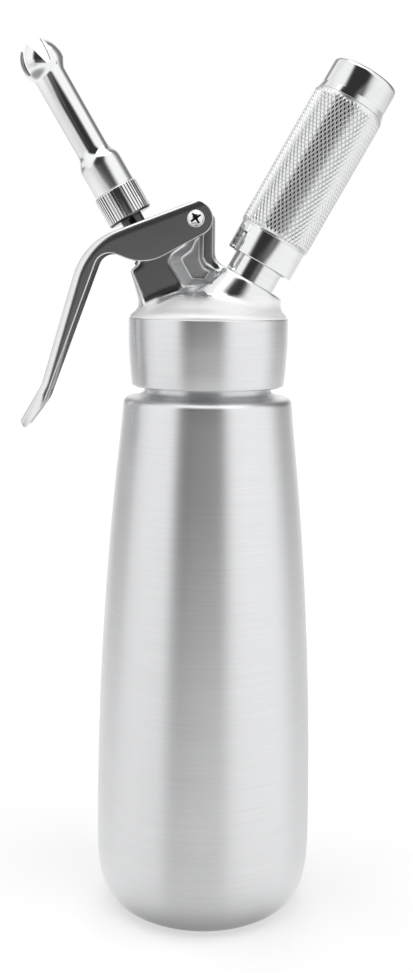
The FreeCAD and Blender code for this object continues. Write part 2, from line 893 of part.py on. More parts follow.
def charger_stud():
    thread_low = holder_rim + stud_neck_inside
    body = disc(stud_shank_radius, shank_bottom, boss_top)
    neck = disc(stud_neck_radius, boss_top, thread_low)
    head = disc(stud_thread_radius, thread_low, stud_top)
    stud = body.fuse([neck, head])
    flange_low = pin_gasket_bottom - pin_flange_height
    grooves = thread_rings(stud_thread_radius + overcut, stud_thread_radius - stud_thread_depth,
                           stud_thread_start, stud_thread_pitch, stud_thread_count,
                           stud_thread_width)
    cuts = [
        disc(charger_neck_radius + charger_neck_gap, flange_low, stud_top + overcut),
        disc(pin_body_radius, boss_top, flange_low + overcut),
        disc(gas_channel, shank_bottom - overcut, boss_top + overcut),
    ]
    return on_holder(stud.cut(cuts + grooves))


def stud_gasket():
    return on_holder(ring(stud_gasket_radius - stud_gasket_gap, stud_shank_radius,
                          boss_top - stud_gasket_thickness, boss_top))


def piercing_pin():
    top = pin_gasket_bottom
    flange_low = top - pin_flange_height
    body = disc(pin_body_radius, boss_top + pin_body_start, flange_low)
    flange = disc(pin_flange_radius, flange_low, top)
    point = Part.makeCone(pin_tip_radius, pin_point_radius, pin_tip_height, Vector(0, 0, top))
    bore = disc(pin_bore, boss_top, top + pin_tip_height + overcut)
    return on_holder(body.fuse([flange, point]).cut(bore))


def pin_gasket():
    return on_holder(ring(pin_flange_radius, pin_tip_radius + pin_gasket_room, pin_gasket_bottom,
                          pin_gasket_bottom + pin_gasket_thickness))


def check_valve_body():
    body = disc(check_valve_radius, check_bottom, shank_bottom)
    stub = disc(check_stub_radius, check_bottom - check_stub_length, check_bottom)
    hole_height = check_bottom - check_hole_drop
    channel = disc(gas_channel, hole_height, shank_bottom + overcut)
    side_hole = Part.makeCylinder(gas_channel / 2, 2 * (check_stub_radius + overcut),
                                  Vector(-check_stub_radius - overcut, 0, hole_height),
                                  Vector(1, 0, 0))
    return on_holder(body.fuse(stub).cut([channel, side_hole]))


def check_valve_sleeve():
    return on_holder(ring(check_stub_radius + check_sleeve_wall, check_stub_radius,
                          check_bottom - check_stub_length, check_bottom))


# Charger holder

def charger_holder():
    bore_start = stud_top + holder_step_gap
    thread_bore = stud_thread_radius + stud_thread_gap
    plug_start = knurl_end - cap_plug_length
    edges = lines((thread_bore, holder_rim), (holder_plain_radius - holder_edge, holder_rim),
                  (holder_plain_radius, holder_rim + holder_edge),
                  (holder_plain_radius, knurl_start), (knurl_radius - knurl_edge / 2, knurl_start),
                  (knurl_radius, knurl_start + knurl_edge), (knurl_radius, knurl_end - knurl_edge),
                  (knurl_radius - knurl_edge, knurl_end), (cap_plug_radius, knurl_end),
                  (cap_plug_radius, plug_start), (holder_bore, plug_start),
                  (holder_bore, bore_start), (thread_bore, bore_start), (thread_bore, holder_rim))
    crest = stud_thread_radius - stud_thread_depth + thread_crest_gap
    ridges = thread_rings(thread_bore + overcut, crest, stud_thread_start, stud_thread_pitch,
                          stud_thread_count, stud_thread_width - 2 * thread_side_gap)
    return on_holder(spun(edges).fuse(ridges).cut(vent_slot()))


def vent_slot():
    """Slot from the rim that lets leftover gas out before the thread is free."""
    top = knurl_start - vent_margin - vent_width / 2
    reach = 2 * holder_plain_radius
    box = Part.makeBox(reach, vent_width, top - holder_rim + overcut,
                       Vector(0, -vent_width / 2, holder_rim - overcut))
    round_end = Part.makeCylinder(vent_width / 2, reach, Vector(0, 0, top), Vector(1, 0, 0))
    slot = box.fuse(round_end)
    slot.rotate(Vector(), UP, vent_azimuth)
    return slot


def holder_cap():
    inside = cap_end - cap_wall
    plug_start = knurl_end - cap_plug_length
    edges = lines((0, inside), (holder_bore, inside), (holder_bore, plug_start),
                  (cap_plug_radius, plug_start), (cap_plug_radius, knurl_end),
                  (knurl_radius - knurl_edge, knurl_end), (cap_radius, cap_start),
                  (cap_radius, cap_end - cap_round))
    edges += bezier((cap_radius, cap_end - cap_round), (cap_radius, cap_end),
                    (cap_radius - cap_round, cap_end))
    edges += lines((cap_radius - cap_round, cap_end), (0, cap_end), (0, inside))
    return on_holder(spun(edges))


def charger_pad():
    return on_holder(disc(holder_bore - pad_gap, charger_end, charger_end + pad_thickness))


def gas_charger():
    neck_top = charger_tip + charger_neck_length
    body_start = neck_top + charger_shoulder
    dome_start = charger_end - charger_dome
    edges = lines((charger_hole_radius, charger_tip), (charger_neck_radius, charger_tip),
                  (charger_neck_radius, neck_top))
    edges += bezier((charger_neck_radius, neck_top),
                    (charger_neck_radius, neck_top + charger_shoulder / 2),
                    (charger_radius, body_start - charger_shoulder / 2),
                    (charger_radius, body_start))
    edges += lines((charger_radius, body_start), (charger_radius, dome_start))
    edges += bezier((charger_radius, dome_start), (charger_radius, charger_end),
                    (0, charger_end))
    inner = charger_radius - charger_wall
    inner_end = charger_end - charger_wall
    edges += lines((0, charger_end), (0, inner_end))
    edges += bezier((0, inner_end), (inner, inner_end), (inner, dome_start))
    edges += lines((inner, dome_start), (inner, body_start), (charger_hole_radius, neck_top),
                   (charger_hole_radius, charger_tip))
    return on_holder(spun(edges))


# Writing

PARTS = [bottle, head_casting, head_gasket, valve_stem, stem_o_ring, valve_seal, valve_nut,
         valve_spring, stem_bush, stem_collar, lever, pivot_screw, pivot_nut, pivot_washers,
         nozzle_adapter, adapter_gasket, nozzle, charger_stud, stud_gasket, piercing_pin,
         pin_gasket, check_valve_body, check_valve_sleeve, charger_holder, holder_cap,
         charger_pad, gas_charger]

os.makedirs("parts", exist_ok=True)
for make in PARTS:
    shape = make()
    shape.exportStep("parts/" + make.__name__ + ".step")
    print(make.__name__, len(shape.Solids), round(shape.Volume, 1), shape.isValid())
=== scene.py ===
from math import atan2, cos, pi, radians, sin, sqrt, tan

import bmesh
import bpy
from mathutils import Matrix, Vector
from mathutils.geometry import interpolate_bezier


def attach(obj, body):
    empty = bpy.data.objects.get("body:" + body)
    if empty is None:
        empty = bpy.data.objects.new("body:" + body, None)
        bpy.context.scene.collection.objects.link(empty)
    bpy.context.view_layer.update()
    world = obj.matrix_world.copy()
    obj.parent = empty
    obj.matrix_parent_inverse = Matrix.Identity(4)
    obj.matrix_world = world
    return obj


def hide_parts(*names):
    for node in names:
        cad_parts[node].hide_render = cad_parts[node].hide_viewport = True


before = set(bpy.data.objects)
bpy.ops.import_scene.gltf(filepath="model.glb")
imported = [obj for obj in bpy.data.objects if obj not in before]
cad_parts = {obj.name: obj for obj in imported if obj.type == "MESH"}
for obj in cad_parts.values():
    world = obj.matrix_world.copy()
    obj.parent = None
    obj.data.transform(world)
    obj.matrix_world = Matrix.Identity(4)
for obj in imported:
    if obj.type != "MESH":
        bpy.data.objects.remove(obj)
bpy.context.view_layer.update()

# Bottle. Impact-extruded aluminium with a flat foot, a long slightly bowed wall and a
# tight shoulder; the outside is brushed round and anodised. The neck's thread is rolled
# and takes the head's collar.
MM = 0.001
foot_hollow = 1.5
foot_radius = 28.0
belly_radius = 40.0
belly_height = 25.0
wall_bow = 1350.0
wall_top = 183.0
shoulder_height = 188.0
shoulder_edge = 190.4
shoulder_round = 2.4
shoulder_top = 191.2
neck_radius = 24.4
neck_waist = 22.7
neck_bore = 20.8
bottle_rim = 213.0
bottle_floor = 2.6
bottle_wall = 1.6
thread_heights = (198.0, 201.4, 204.8, 208.2)


def rounded(*corners):
    """Points along straight runs; a corner's third number is its rounding radius."""
    path = []
    for i, corner in enumerate(corners):
        here = Vector(corner[:2])
        if len(corner) == 2:
            path.append(here)
            continue
        back = (Vector(corners[i - 1][:2]) - here).normalized()
        on = (Vector(corners[(i + 1) % len(corners)][:2]) - here).normalized()
        half = back.angle(on) / 2
        centre = here + (back + on).normalized() * corner[2] / sin(half)
        first = here + back * corner[2] / tan(half) - centre
        last = here + on * corner[2] / tan(half) - centre
        turned = pi - 2 * half
        steps = max(2, round(turned / radians(11)), round(turned * corner[2] / 1.6))
        path += [centre + first.slerp(last, step / steps) * corner[2] for step in range(steps + 1)]
    return path


def curve(*poles, steps=14):
    """Points along a smooth run that leaves and arrives along its outer poles."""
    knots = [Vector(pole) for pole in poles]
    return list(interpolate_bezier(*knots, steps))


def lathe(profile, steps=144, closed=True):
    """Turned shape about Z from (radius, height) points in millimetres."""
    shape = bmesh.new()
    points = [shape.verts.new((r * MM, 0, z * MM)) for r, z in profile]
    edges = [shape.edges.new(pair) for pair in zip(points, points[1:])]
    if closed:
        edges.append(shape.edges.new((points[-1], points[0])))
    bmesh.ops.spin(shape, geom=points + edges, axis=(0, 0, 1), angle=2 * pi, steps=steps,
                   use_merge=True)
    bmesh.ops.remove_doubles(shape, verts=shape.verts, dist=0.002 * MM)
    bmesh.ops.recalc_face_normals(shape, faces=shape.faces)
    return shape


def shown(name, shape):
    """New object with the shape as its mesh."""
    made = bpy.data.objects.new(name, bpy.data.meshes.new(name))
    shape.to_mesh(made.data)
    shape.free()
    bpy.context.scene.collection.objects.link(made)
    return made


def placed(shape, place):
    bmesh.ops.transform(shape, matrix=place, verts=shape.verts)
    return shape


def piece(name, shape, finish, body, slot, *nodes, place=Matrix(), crease=32):
    """Finished object: its mesh, place, finish, body and the nodes it stands for; slot is not
    used.
    """
    made = shown(name, placed(shape, place))
    made.data.shade_smooth()
    made.data.set_sharp_from_angle(angle=radians(crease))
    made.data.materials.append(finish)
    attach(made, body)
    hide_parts(*nodes)
    return made


def add(tree, kind, inputs=(), **settings):
    """New shader node; inputs gives values or other nodes' outputs for its sockets."""
    made = tree.nodes.new("ShaderNode" + kind)
    for name, value in settings.items():
        setattr(made, name, value)
    for key, value in dict(inputs).items():
        if isinstance(value, bpy.types.NodeSocket):
            tree.links.new(value, made.inputs[key])
        else:
            made.inputs[key].default_value = value
    return made


def surface(name, **values):
    """New material, its tree and its shader with plain values on the shader's sockets."""
    material = bpy.data.materials.new(name)
    material.use_nodes = True
    shader = material.node_tree.nodes["Principled BSDF"]
    for socket, value in values.items():
        shader.inputs[socket.replace("_", " ")].default_value = value
    return material, material.node_tree, shader


def metal_marks():
    """Fine lines all round an axis, and the faint clouding that handling leaves."""
    tree = bpy.data.node_groups.new("metal_marks", "ShaderNodeTree")
    for name, kind in (("Place", "Vector"), ("Tone", "Color"), ("Dullness", "Float"),
                       ("Clouding", "Float"), ("Line length", "Float"),
                       ("Line fineness", "Float")):
        tree.interface.new_socket(name, in_out="INPUT", socket_type="NodeSocket" + kind)
    for name, kind in (("Color", "Color"), ("Roughness", "Float"), ("Height", "Float")):
        tree.interface.new_socket(name, in_out="OUTPUT", socket_type="NodeSocket" + kind)
    start = tree.nodes.new("NodeGroupInput").outputs
    end = tree.nodes.new("NodeGroupOutput").inputs
    stretch = add(tree, "CombineXYZ", {0: start["Line length"], 1: start["Line length"],
                                       2: start["Line fineness"]})
    lines = add(tree, "VectorMath", {0: start["Place"], 1: stretch.outputs[0]},
                operation="MULTIPLY")
    streaks = add(tree, "TexNoise", {"Vector": lines.outputs[0], "Scale": 1.0, "Detail": 3.0,
                                     "Roughness": 0.6})
    clouds = add(tree, "TexNoise", {"Vector": start["Place"], "Scale": 55.0, "Detail": 4.0})
    tone = add(tree, "MapRange", {"Value": streaks.outputs[0], "From Min": 0.3,
                                  "From Max": 0.7, "To Min": 0.95, "To Max": 1.02})
    tint = add(tree, "VectorMath", {0: start["Tone"], "Scale": tone.outputs[0]},
               operation="SCALE")
    centred = add(tree, "Math", {0: clouds.outputs[0], 1: 0.5}, operation="SUBTRACT")
    dull = add(tree, "Math", {0: centred.outputs[0], 1: start["Clouding"],
                              2: start["Dullness"]}, operation="MULTIPLY_ADD")
    tree.links.new(tint.outputs[0], end["Color"])
    tree.links.new(dull.outputs[0], end["Roughness"])
    tree.links.new(streaks.outputs[0], end["Height"])
    return tree


marks = metal_marks()


def turned_metal(name, tone, dullness, clouding, relief, length=40.0, fineness=3000.0,
                 place=None, **values):
    """Metal with the marks of turning; place is its axis, and the last value its coordinates."""
    material, tree, shader = surface(name, Metallic=1.0, **values)
    where = add(tree, "TexCoord").outputs["Object"]
    if place:
        where = add(tree, "Mapping", {"Vector": where, "Location": place.to_translation(),
                                      "Rotation": place.to_euler()},
                    vector_type="TEXTURE").outputs[0]
    worn = add(tree, "Group", {"Place": where, "Tone": (*tone, 1), "Dullness": dullness,
                               "Clouding": clouding, "Line length": length,
                               "Line fineness": fineness}, node_tree=marks)
    bump = add(tree, "Bump", {"Height": worn.outputs["Height"], "Strength": relief,
                              "Distance": 0.01 * MM})
    tree.links.new(worn.outputs["Color"], shader.inputs["Base Color"])
    tree.links.new(worn.outputs["Roughness"], shader.inputs["Roughness"])
    tree.links.new(bump.outputs[0], shader.inputs["Normal"])
    return material, tree, shader, where


def brushed_aluminium():
    """Anodised aluminium brushed round the bottle, so that reflections run up and down."""
    material, tree, shader = turned_metal("brushed_aluminium", (0.85, 0.855, 0.865), 0.3,
                                          0.06, 1.0, Anisotropic=0.9,
                                          Anisotropic_Rotation=0.25)[:3]
    grain = add(tree, "Tangent", direction_type="RADIAL", axis="Z")
    tree.links.new(grain.outputs[0], shader.inputs["Tangent"])
    return material


def wall_radius(height, inset=0.0):
    return belly_radius - inset - wall_bow + sqrt(wall_bow ** 2 - (height - belly_height) ** 2)


def thread_rings(radius, heights, depth, half_mouth, half_floor):
    """Points of closed thread rings in a wall; each is depth nearer the axis at its floor."""
    return [Vector((radius - inset, height + rise)) for height in heights for rise, inset in
            ((-half_mouth, 0), (-half_floor, depth), (half_floor, depth), (half_mouth, 0))]


def bottle_profile():
    outer = rounded((0, foot_hollow), (19, 1.3, 14), (25.2, 0.1, 2.0), (26.4, 0))
    outer += curve((foot_radius, 0), (36.5, 0), (belly_radius, 7), (belly_radius, belly_height))
    outer += [Vector((wall_radius(z), z)) for z in range(40, 180, 20)]
    outer += rounded((wall_radius(wall_top), wall_top),
                     (wall_radius(shoulder_height), shoulder_edge, shoulder_round),
                     (25.2, shoulder_top, 0.6), (24.2, 191.6))
    outer += curve((24.0, 191.8), (23.0, 192.2), (neck_waist, 193.0), (neck_waist, 194.0),
                   steps=6)
    outer += [Vector((neck_waist, 195.6)), Vector((neck_radius, 196.6))]
    outer += thread_rings(neck_radius, thread_heights, 0.8, 0.9, 0.4)
    outer += rounded((neck_radius, 211.0), (neck_radius, bottle_rim, 0.4),
                     (neck_bore, bottle_rim, 0.4), (neck_bore, 192.0))
    inner = rounded((neck_bore, 190.6), (neck_bore, 189.2, 0.6), (28.6, 188.6, 2.0),
                    (wall_radius(wall_top, bottle_wall), wall_top))
    inner += [Vector((wall_radius(z, bottle_wall), z)) for z in range(160, 30, -30)]
    inner += curve((belly_radius - bottle_wall, belly_height), (38.4, 9), (35.6, 2.8),
                   (27.2, bottle_floor + 0.2))
    inner += [Vector((0, bottle_floor + 0.4))]
    return outer + inner


aluminium = brushed_aluminium()
piece("bottle_shell", lathe(bottle_profile(), steps=180, closed=False), aluminium, "base",
      "bottle_aluminium", "bottle")

# Head gasket. A flat ring punched from pale silicone rubber; the bottle's rim presses it
# against the head's ceiling.


def skinned(name, tone, lightest, fineness, relief, **values):
    """Matt material with a fine skin; returns it, its tree, its shader and the skin."""
    material, tree, shader = surface(name, **values)
    where = add(tree, "TexCoord").outputs["Object"]
    skin = add(tree, "TexNoise", {"Vector": where, "Scale": fineness, "Detail": 2.0}).outputs[0]
    light = [min(1.0, part * lightest) for part in tone]
    mixed = add(tree, "MixRGB", {"Fac": skin, "Color1": (*tone, 1), "Color2": (*light, 1)})
    bump = add(tree, "Bump", {"Height": skin, "Strength": relief, "Distance": 0.02 * MM})
    tree.links.new(mixed.outputs[0], shader.inputs["Base Color"])
    tree.links.new(bump.outputs[0], shader.inputs["Normal"])
    return material, tree, shader, skin


def rubber(name, tone, dullness):
    """Moulded or punched rubber, powdery."""
    return skinned(name, tone, 1.25, 2500.0, 0.4, Roughness=dullness)[0]


def dress(node, finish):
    """Give a CAD node that keeps its shape the finish of the real piece."""
    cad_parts[node].data.materials.clear()
    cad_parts[node].data.materials.append(finish)


dress("head_gasket", rubber("pale_rubber", (0.6, 0.6, 0.57), 0.55))

# Head casting. One aluminium die casting: a collar, turned and brushed, that screws on the
# bottle, and above it the dome with the polished valve tower, its hinge lug and the boss
# for the charger. Bosses and bores give radius, low end and high end on their own axis.
collar_bottom = 194.7
collar_top = 218.7
collar_low_radius = 27.2
collar_top_radius = 28.3
collar_bore = 24.5
ceiling = 215.2
apex = Vector((0, 0, 206.5 * MM))
stem_tilt = -30.5
holder_tilt = 29.2
tower_half = 8.2
tower_top = 38.6
tower_corner = 4.5
lug_corner = 1.5
pivot = Vector((-4.7, 252.8))
boss_foot = 11.0
boss_top = 29.4
boss_radius = 13.3
boss_draft = 19.0
pocket_turn = (-4.7, 240.8)
pocket_mouth = ((-8.2, -0.4), (-3.4, 2.9), (-1.5, 6.2), (2.4, 7.6), (2.3, -1.2), (3.6, -3.6),
                (7.4, -5.7), (6.0, -10.2), (-4.4, -11.0), (-9.4, -3.2))
pocket_floor = ((-4.9, -0.8), (-1.8, 1.6), (-0.4, 5.2), (1.6, 6.9), (1.6, -1.4), (2.9, -4.0),
                (5.3, -5.4), (3.0, -8.8), (-1.1, -8.6), (-5.0, -1.9))
pocket_depth = 2.8
mouth_margin = 1.8
cast_fillet = 2.4
stem_boss = (7.2, 9.0, 21.0)
gas_boss = (6.2, 14.0, 21.0)
bush_bore = (7.15, tower_top, 60.0)
spring_bore = (6.0, 19.5, tower_top + 1)
guide_bore = (4.06, 10.0, 20.0)
inlet_bore = (5.1, 2.0, 14.5)
gasket_bore = (8.4, boss_top - 1.2, boss_top + 5)
stud_bore = (7.04, 21.0, boss_top + 2)
gas_bore = (4.2, 8.0, 22.0)
screw_bore = (2.46, -20.0, 20.0)


def leaning(tilt):
    """Place of a shape made along Z on one of the head's two leaning axes."""
    return Matrix.Translation(apex) @ Matrix.Rotation(radians(tilt), 4, "Y")


stem_place = leaning(stem_tilt)
holder_place = leaning(holder_tilt)
pivot_place = Matrix.Translation((pivot.x * MM, 0, pivot.y * MM)) @ Matrix.Rotation(
    pi / 2, 4, "X")


def worked(shape, *steps):
    """The shape after modifiers, each given as its kind and its settings."""
    thing = shown("work", shape)
    for kind, settings in steps:
        modifier = thing.modifiers.new(kind, kind)
        for name, value in settings.items():
            setattr(modifier, name, value)
    result = bmesh.new()
    result.from_object(thing, bpy.context.evaluated_depsgraph_get())
    bpy.data.objects.remove(thing)
    return result


def cut(shape, tool, operation="DIFFERENCE"):
    """The shape less the tool, or what both share, or both together."""
    cutter = shown("work", tool)
    result = worked(shape, ("BOOLEAN", dict(object=cutter, operation=operation,
                                            solver="MANIFOLD")))
    bpy.data.objects.remove(cutter)
    return result


def pushed(outline, way):
    """Solid made by pushing a flat outline along a way, both in millimetres."""
    shape = bmesh.new()
    side = shape.faces.new([shape.verts.new([part * MM for part in spot]) for spot in outline])
    grown = bmesh.ops.extrude_face_region(shape, geom=[side])["geom"]
    moved = [part for part in grown if isinstance(part, bmesh.types.BMVert)]
    bmesh.ops.translate(shape, verts=moved, vec=[part * MM for part in way])
    bmesh.ops.recalc_face_normals(shape, faces=shape.faces)
    return shape


def side_plate(outline, half_width):
    """Block with the given side view, to both sides of the object's middle."""
    return pushed([(x, -half_width, z) for x, z in outline], (0, 2 * half_width, 0))


def joined(*shapes):
    """Several shapes in one, still overlapping."""
    whole = bmesh.new()
    for shape in shapes:
        mesh = bpy.data.meshes.new("work")
        shape.to_mesh(mesh)
        shape.free()
        whole.from_mesh(mesh)
        bpy.data.meshes.remove(mesh)
    return whole


def rod(radius, low, high, place, steps=64):
    """Plain round bar about the Z of a place."""
    outline = [(0, low), (radius, low), (radius, high), (0, high)]
    return placed(lathe(outline, steps, closed=False), place)


def tower_block():
    """The valve tower with its lug, its upright edges rounded."""
    outline = rounded((-22.4, 216.0), (-27.52, 235.09, 0.9), (-23.47, 237.48, 0.4),
                      (-25.24, 240.49, 0.7), (-14.46, 248.0, 3.0), (-6.9, 256.5, 4.0),
                      (-2.2, 257.6, 4.0), (2.0, 253.2, 1.5), (2.0, 236.2, 4.6),
                      (7.2, 236.2), (7.2, 216.0))
    shape = side_plate(outline, tower_half)
    for middle, radius, segments in (((-25.0, 226.0), tower_corner, 8),
                                     ((2.0, 246.5), lug_corner, 4)):
        upright = [e for e in shape.edges if runs_beside(e, middle)]
        bmesh.ops.bevel(shape, geom=upright, offset=radius * MM, segments=segments,
                        profile=0.5, affect="EDGES", material=-1)
    return shape


def runs_beside(edge, middle):
    """True for the long edges of a side face whose side-view middle is given."""
    a, b = (corner.co for corner in edge.verts)
    near = (Vector(((a.x + b.x) / 2, (a.z + b.z) / 2)) / MM - Vector(middle)).length
    return abs(a.y - b.y) < 0.01 * MM and near < 1.5 and (a - b).length > 6 * MM


def pocket(side):
    """Cutter for the sloping-walled recess in one face of the tower."""
    reach = 1 + mouth_margin / pocket_depth
    mouth = [Vector(low).lerp(Vector(high), reach)
             for low, high in zip(pocket_floor, pocket_mouth)]
    shape = bmesh.new()
    rings = []
    for corners, level in ((mouth, tower_half + mouth_margin),
                           (pocket_floor, tower_half - pocket_depth)):
        rings.append([shape.verts.new(((pocket_turn[0] + x) * MM, side * level * MM,
                                       (pocket_turn[1] + z) * MM)) for x, z in corners])
        shape.faces.new(rings[-1])
    for i in range(len(mouth)):
        shape.faces.new((rings[0][i - 1], rings[0][i], rings[1][i], rings[1][i - 1]))
    bmesh.ops.recalc_face_normals(shape, faces=shape.faces)
    return shape


def dome():
    profile = [(0, 214.0), (27.9, 214.0), (27.9, 219.1)]
    profile += curve((27.8, 219.5), (27.2, 220.4), (25.0, 221.4), (23.2, 222.0), steps=6)
    profile += curve((23.2, 222.0), (14.2, 227.6), (8.5, 229.0), (0, 229.0))[1:]
    return lathe(profile, closed=False)


def hollow():
    """Cutter for the room under the dome."""
    profile = [(0, 212.0), (20.4, 212.0)]
    profile += curve((20.4, 215.7), (18.8, 218.2), (15.9, 220.7), (11.6, 222.0), steps=7)
    profile += curve((11.6, 222.0), (8.2, 222.8), (4.0, 223.2), (0, 223.2), steps=6)[1:]
    return lathe(profile, 96, closed=False)


def valve_body():
    """Dome, tower and boss run together with soft cast corners, then hollowed and drilled."""
    spread = tan(radians(boss_draft)) * (boss_top - boss_foot)
    face = boss_top - 0.2
    boss = lathe(rounded((0, boss_foot), (boss_radius + spread, boss_foot),
                         (boss_radius, face, 0.6), (0, face)), closed=False)
    rough = joined(dome(), tower_block(), placed(boss, holder_place))
    soft = worked(rough, ("REMESH", dict(mode="VOXEL", voxel_size=0.55 * MM)),
                  ("DISPLACE", dict(mid_level=0.0, strength=cast_fillet * MM)),
                  ("REMESH", dict(mode="VOXEL", voxel_size=0.6 * MM)),
                  ("DISPLACE", dict(mid_level=0.0, strength=-cast_fillet * MM)),
                  ("SMOOTH", dict(factor=0.5, iterations=3)))
    for side in (-1, 1):
        soft = cut(soft, pocket(side))
    fine = worked(soft, ("REMESH", dict(mode="VOXEL", voxel_size=0.44 * MM)),
                  ("SMOOTH", dict(factor=0.5, iterations=5)))
    bmesh.ops.bisect_plane(fine, geom=fine.verts[:] + fine.edges[:] + fine.faces[:],
                           plane_co=(0, 0, collar_top * MM), plane_no=(0, 0, -1),
                           clear_outer=True)
    rim = [e for e in fine.edges if e.is_boundary]
    bmesh.ops.edgeloop_fill(fine, edges=rim)
    fine = cut(fine, hollow())
    for inner, place in ((stem_boss, stem_place), (gas_boss, holder_place)):
        fine = cut(fine, rod(*inner, place), "UNION")
    for bores, place in (((bush_bore, spring_bore, guide_bore, inlet_bore), stem_place),
                         ((gasket_bore, stud_bore, gas_bore), holder_place),
                         ((screw_bore,), pivot_place)):
        for bore in bores:
            fine = cut(fine, rod(*bore, place))
    return fine


def zone(tree, value, low, high):
    """0 where the value is under low and 1 where it is over high, in millimetres."""
    return add(tree, "MapRange", {"Value": value, "From Min": low * MM, "From Max": high * MM},
               interpolation_type="SMOOTHSTEP").outputs[0]


def product(tree, a, b):
    return add(tree, "Math", {0: a, 1: b}, operation="MULTIPLY").outputs[0]


def patch(tree, *limits):
    """1 only where each value is past its own limits, given as (value, low, high)."""
    whole = zone(tree, *limits[0])
    for limit in limits[1:]:
        whole = product(tree, whole, zone(tree, *limit))
    return whole


def either(tree, *masks):
    whole = masks[0]
    for mask in masks[1:]:
        whole = add(tree, "Math", {0: whole, 1: mask}, operation="MAXIMUM").outputs[0]
    return whole


def cast_aluminium():
    """Casting: satin dome, bright tower and boss, grain where a wheel can't reach, and painted
    shade along the tower's left foot.
    """
    material, tree, shader = surface("cast_aluminium")
    where = add(tree, "TexCoord").outputs["Object"]
    across, deep, high = add(tree, "SeparateXYZ", {0: where}).outputs
    away = add(tree, "Math", {0: deep}, operation="ABSOLUTE").outputs[0]
    recess = patch(tree, (away, 8.1, 7.9), (across, 2.6, 1.6), (across, -15.4, -14.6),
                   (high, 229.0, 230.0))
    wall = product(tree, recess, zone(tree, away, 5.5, 5.7))
    foot = patch(tree, (high, 226.4, 227.4), (high, 231.2, 230.2), (across, -11.5, -8.5),
                 (across, 5.0, 3.0), (away, 12.5, 10.5))
    # Painted shade: a darker grey band on the fillet at the tower's left foot, where the tower
    # shades the dome.
    corner = patch(tree, (away, 8.25, 8.7), (away, 11.6, 10.2), (across, -19.0, -16.5),
                   (across, -5.0, -8.0))
    outside = either(tree, zone(tree, across, -23.0, -24.5), zone(tree, across, 4.0, 7.0),
                     zone(tree, away, 8.3, 8.8))
    satin = product(tree, outside, zone(tree, high, 227.6, 224.4))
    coarse = add(tree, "TexNoise", {"Vector": where, "Scale": 1900.0, "Detail": 3.0,
                                    "Roughness": 0.7})
    skin = product(tree, coarse.outputs[0], either(tree, wall, foot))
    clouds = add(tree, "TexNoise", {"Vector": where, "Scale": 90.0, "Detail": 4.0})
    dull = add(tree, "MapRange", {"Value": clouds.outputs[0], "From Min": 0.3,
                                  "From Max": 0.7, "To Min": 0.11, "To Max": 0.14})
    duller = add(tree, "Math", {0: satin, 1: 0.3, 2: dull.outputs[0]},
                 operation="MULTIPLY_ADD")
    dullest = add(tree, "Math", {0: recess, 1: 0.18, 2: duller.outputs[0]},
                  operation="MULTIPLY_ADD")
    tone = add(tree, "MixRGB", {"Fac": satin, "Color1": (0.84, 0.845, 0.855, 1),
                                "Color2": (1.0, 1.0, 1.0, 1)})
    greyer = add(tree, "MixRGB", {"Fac": wall, "Color1": tone.outputs[0],
                                  "Color2": (0.46, 0.465, 0.475, 1)})
    with_painted_shade = add(tree, "MixRGB", {"Fac": corner, "Color1": greyer.outputs[0],
                                  "Color2": (0.3, 0.305, 0.31, 1)})
    metal = add(tree, "MapRange", {"Value": satin, "To Min": 1.0, "To Max": 0.35})
    bump = add(tree, "Bump", {"Height": skin, "Strength": 1.0, "Distance": 0.25 * MM})
    tree.links.new(with_painted_shade.outputs[0], shader.inputs["Base Color"])
    tree.links.new(metal.outputs[0], shader.inputs["Metallic"])
    tree.links.new(dullest.outputs[0], shader.inputs["Roughness"])
    tree.links.new(bump.outputs[0], shader.inputs["Normal"])
    return material


collar = rounded((25.3, collar_bottom), (collar_low_radius, collar_bottom, 0.9),
                 (27.75, 200.0, 30.0), (collar_top_radius, 209.0, 60.0),
                 (collar_top_radius, collar_top, 0.45), (20.4, collar_top),
                 (20.4, ceiling), (collar_bore, ceiling))
collar += thread_rings(collar_bore, reversed(thread_heights), 0.6, -0.7, -0.3)
collar.append(Vector((collar_bore, 195.5)))
piece("collar", lathe(collar, steps=160), aluminium, "head", "casting_aluminium",
      "head_casting")
piece("valve_body", valve_body(), cast_aluminium(), "head", "casting_aluminium",
      "head_casting", crease=40)

# Valve. A hollow stainless stem slides in the tower; the spring under the bush lifts it,
# and a rubber seal held by a small nut closes the seat below.
stem_radius = 4.0
stem_foot = 9.0
stem_top = 63.0
stem_bore = 2.4
shoulder_radius = 5.6
spring_shoulder = (30.1, 32.1)
lever_shoulder = (47.1, 48.9)
lever_shoulder_bore = 4.02
bush_radius = 5.95
bush_flange = 7.0
bush_low = 32.4
bush_top = 40.3


def steel(name, tone, dullness, place=None, **values):
    return turned_metal(name, tone, dullness, 0.03, 0.2, length=60.0, fineness=2500.0,
                        place=place, **values)


def darkened(made, share, tone):
    """The finish of a turned piece, darker by a share of 0 to 1; every use in this script paints
    shade.
    """
    material, tree, shader = made[:3]
    before = shader.inputs["Base Color"].links[0].from_socket
    mixed = add(tree, "MixRGB", {"Fac": share, "Color1": before, "Color2": (*tone, 1)})
    tree.links.new(mixed.outputs[0], shader.inputs["Base Color"])
    return material


def dulled(made, share, amount):
    """The finish of a turned piece, rougher by the amount where the share is 1."""
    tree, shader = made[1:3]
    before = shader.inputs["Roughness"].links[0].from_socket
    rough = add(tree, "Math", {0: share, 1: amount, 2: before}, operation="MULTIPLY_ADD")
    tree.links.new(rough.outputs[0], shader.inputs["Roughness"])
    return made


def past(made, low, high):
    """0 below one height on a finish's own axis and 1 above the other."""
    return zone(made[1], add(made[1], "SeparateXYZ", {0: made[3]}).outputs[2], low, high)


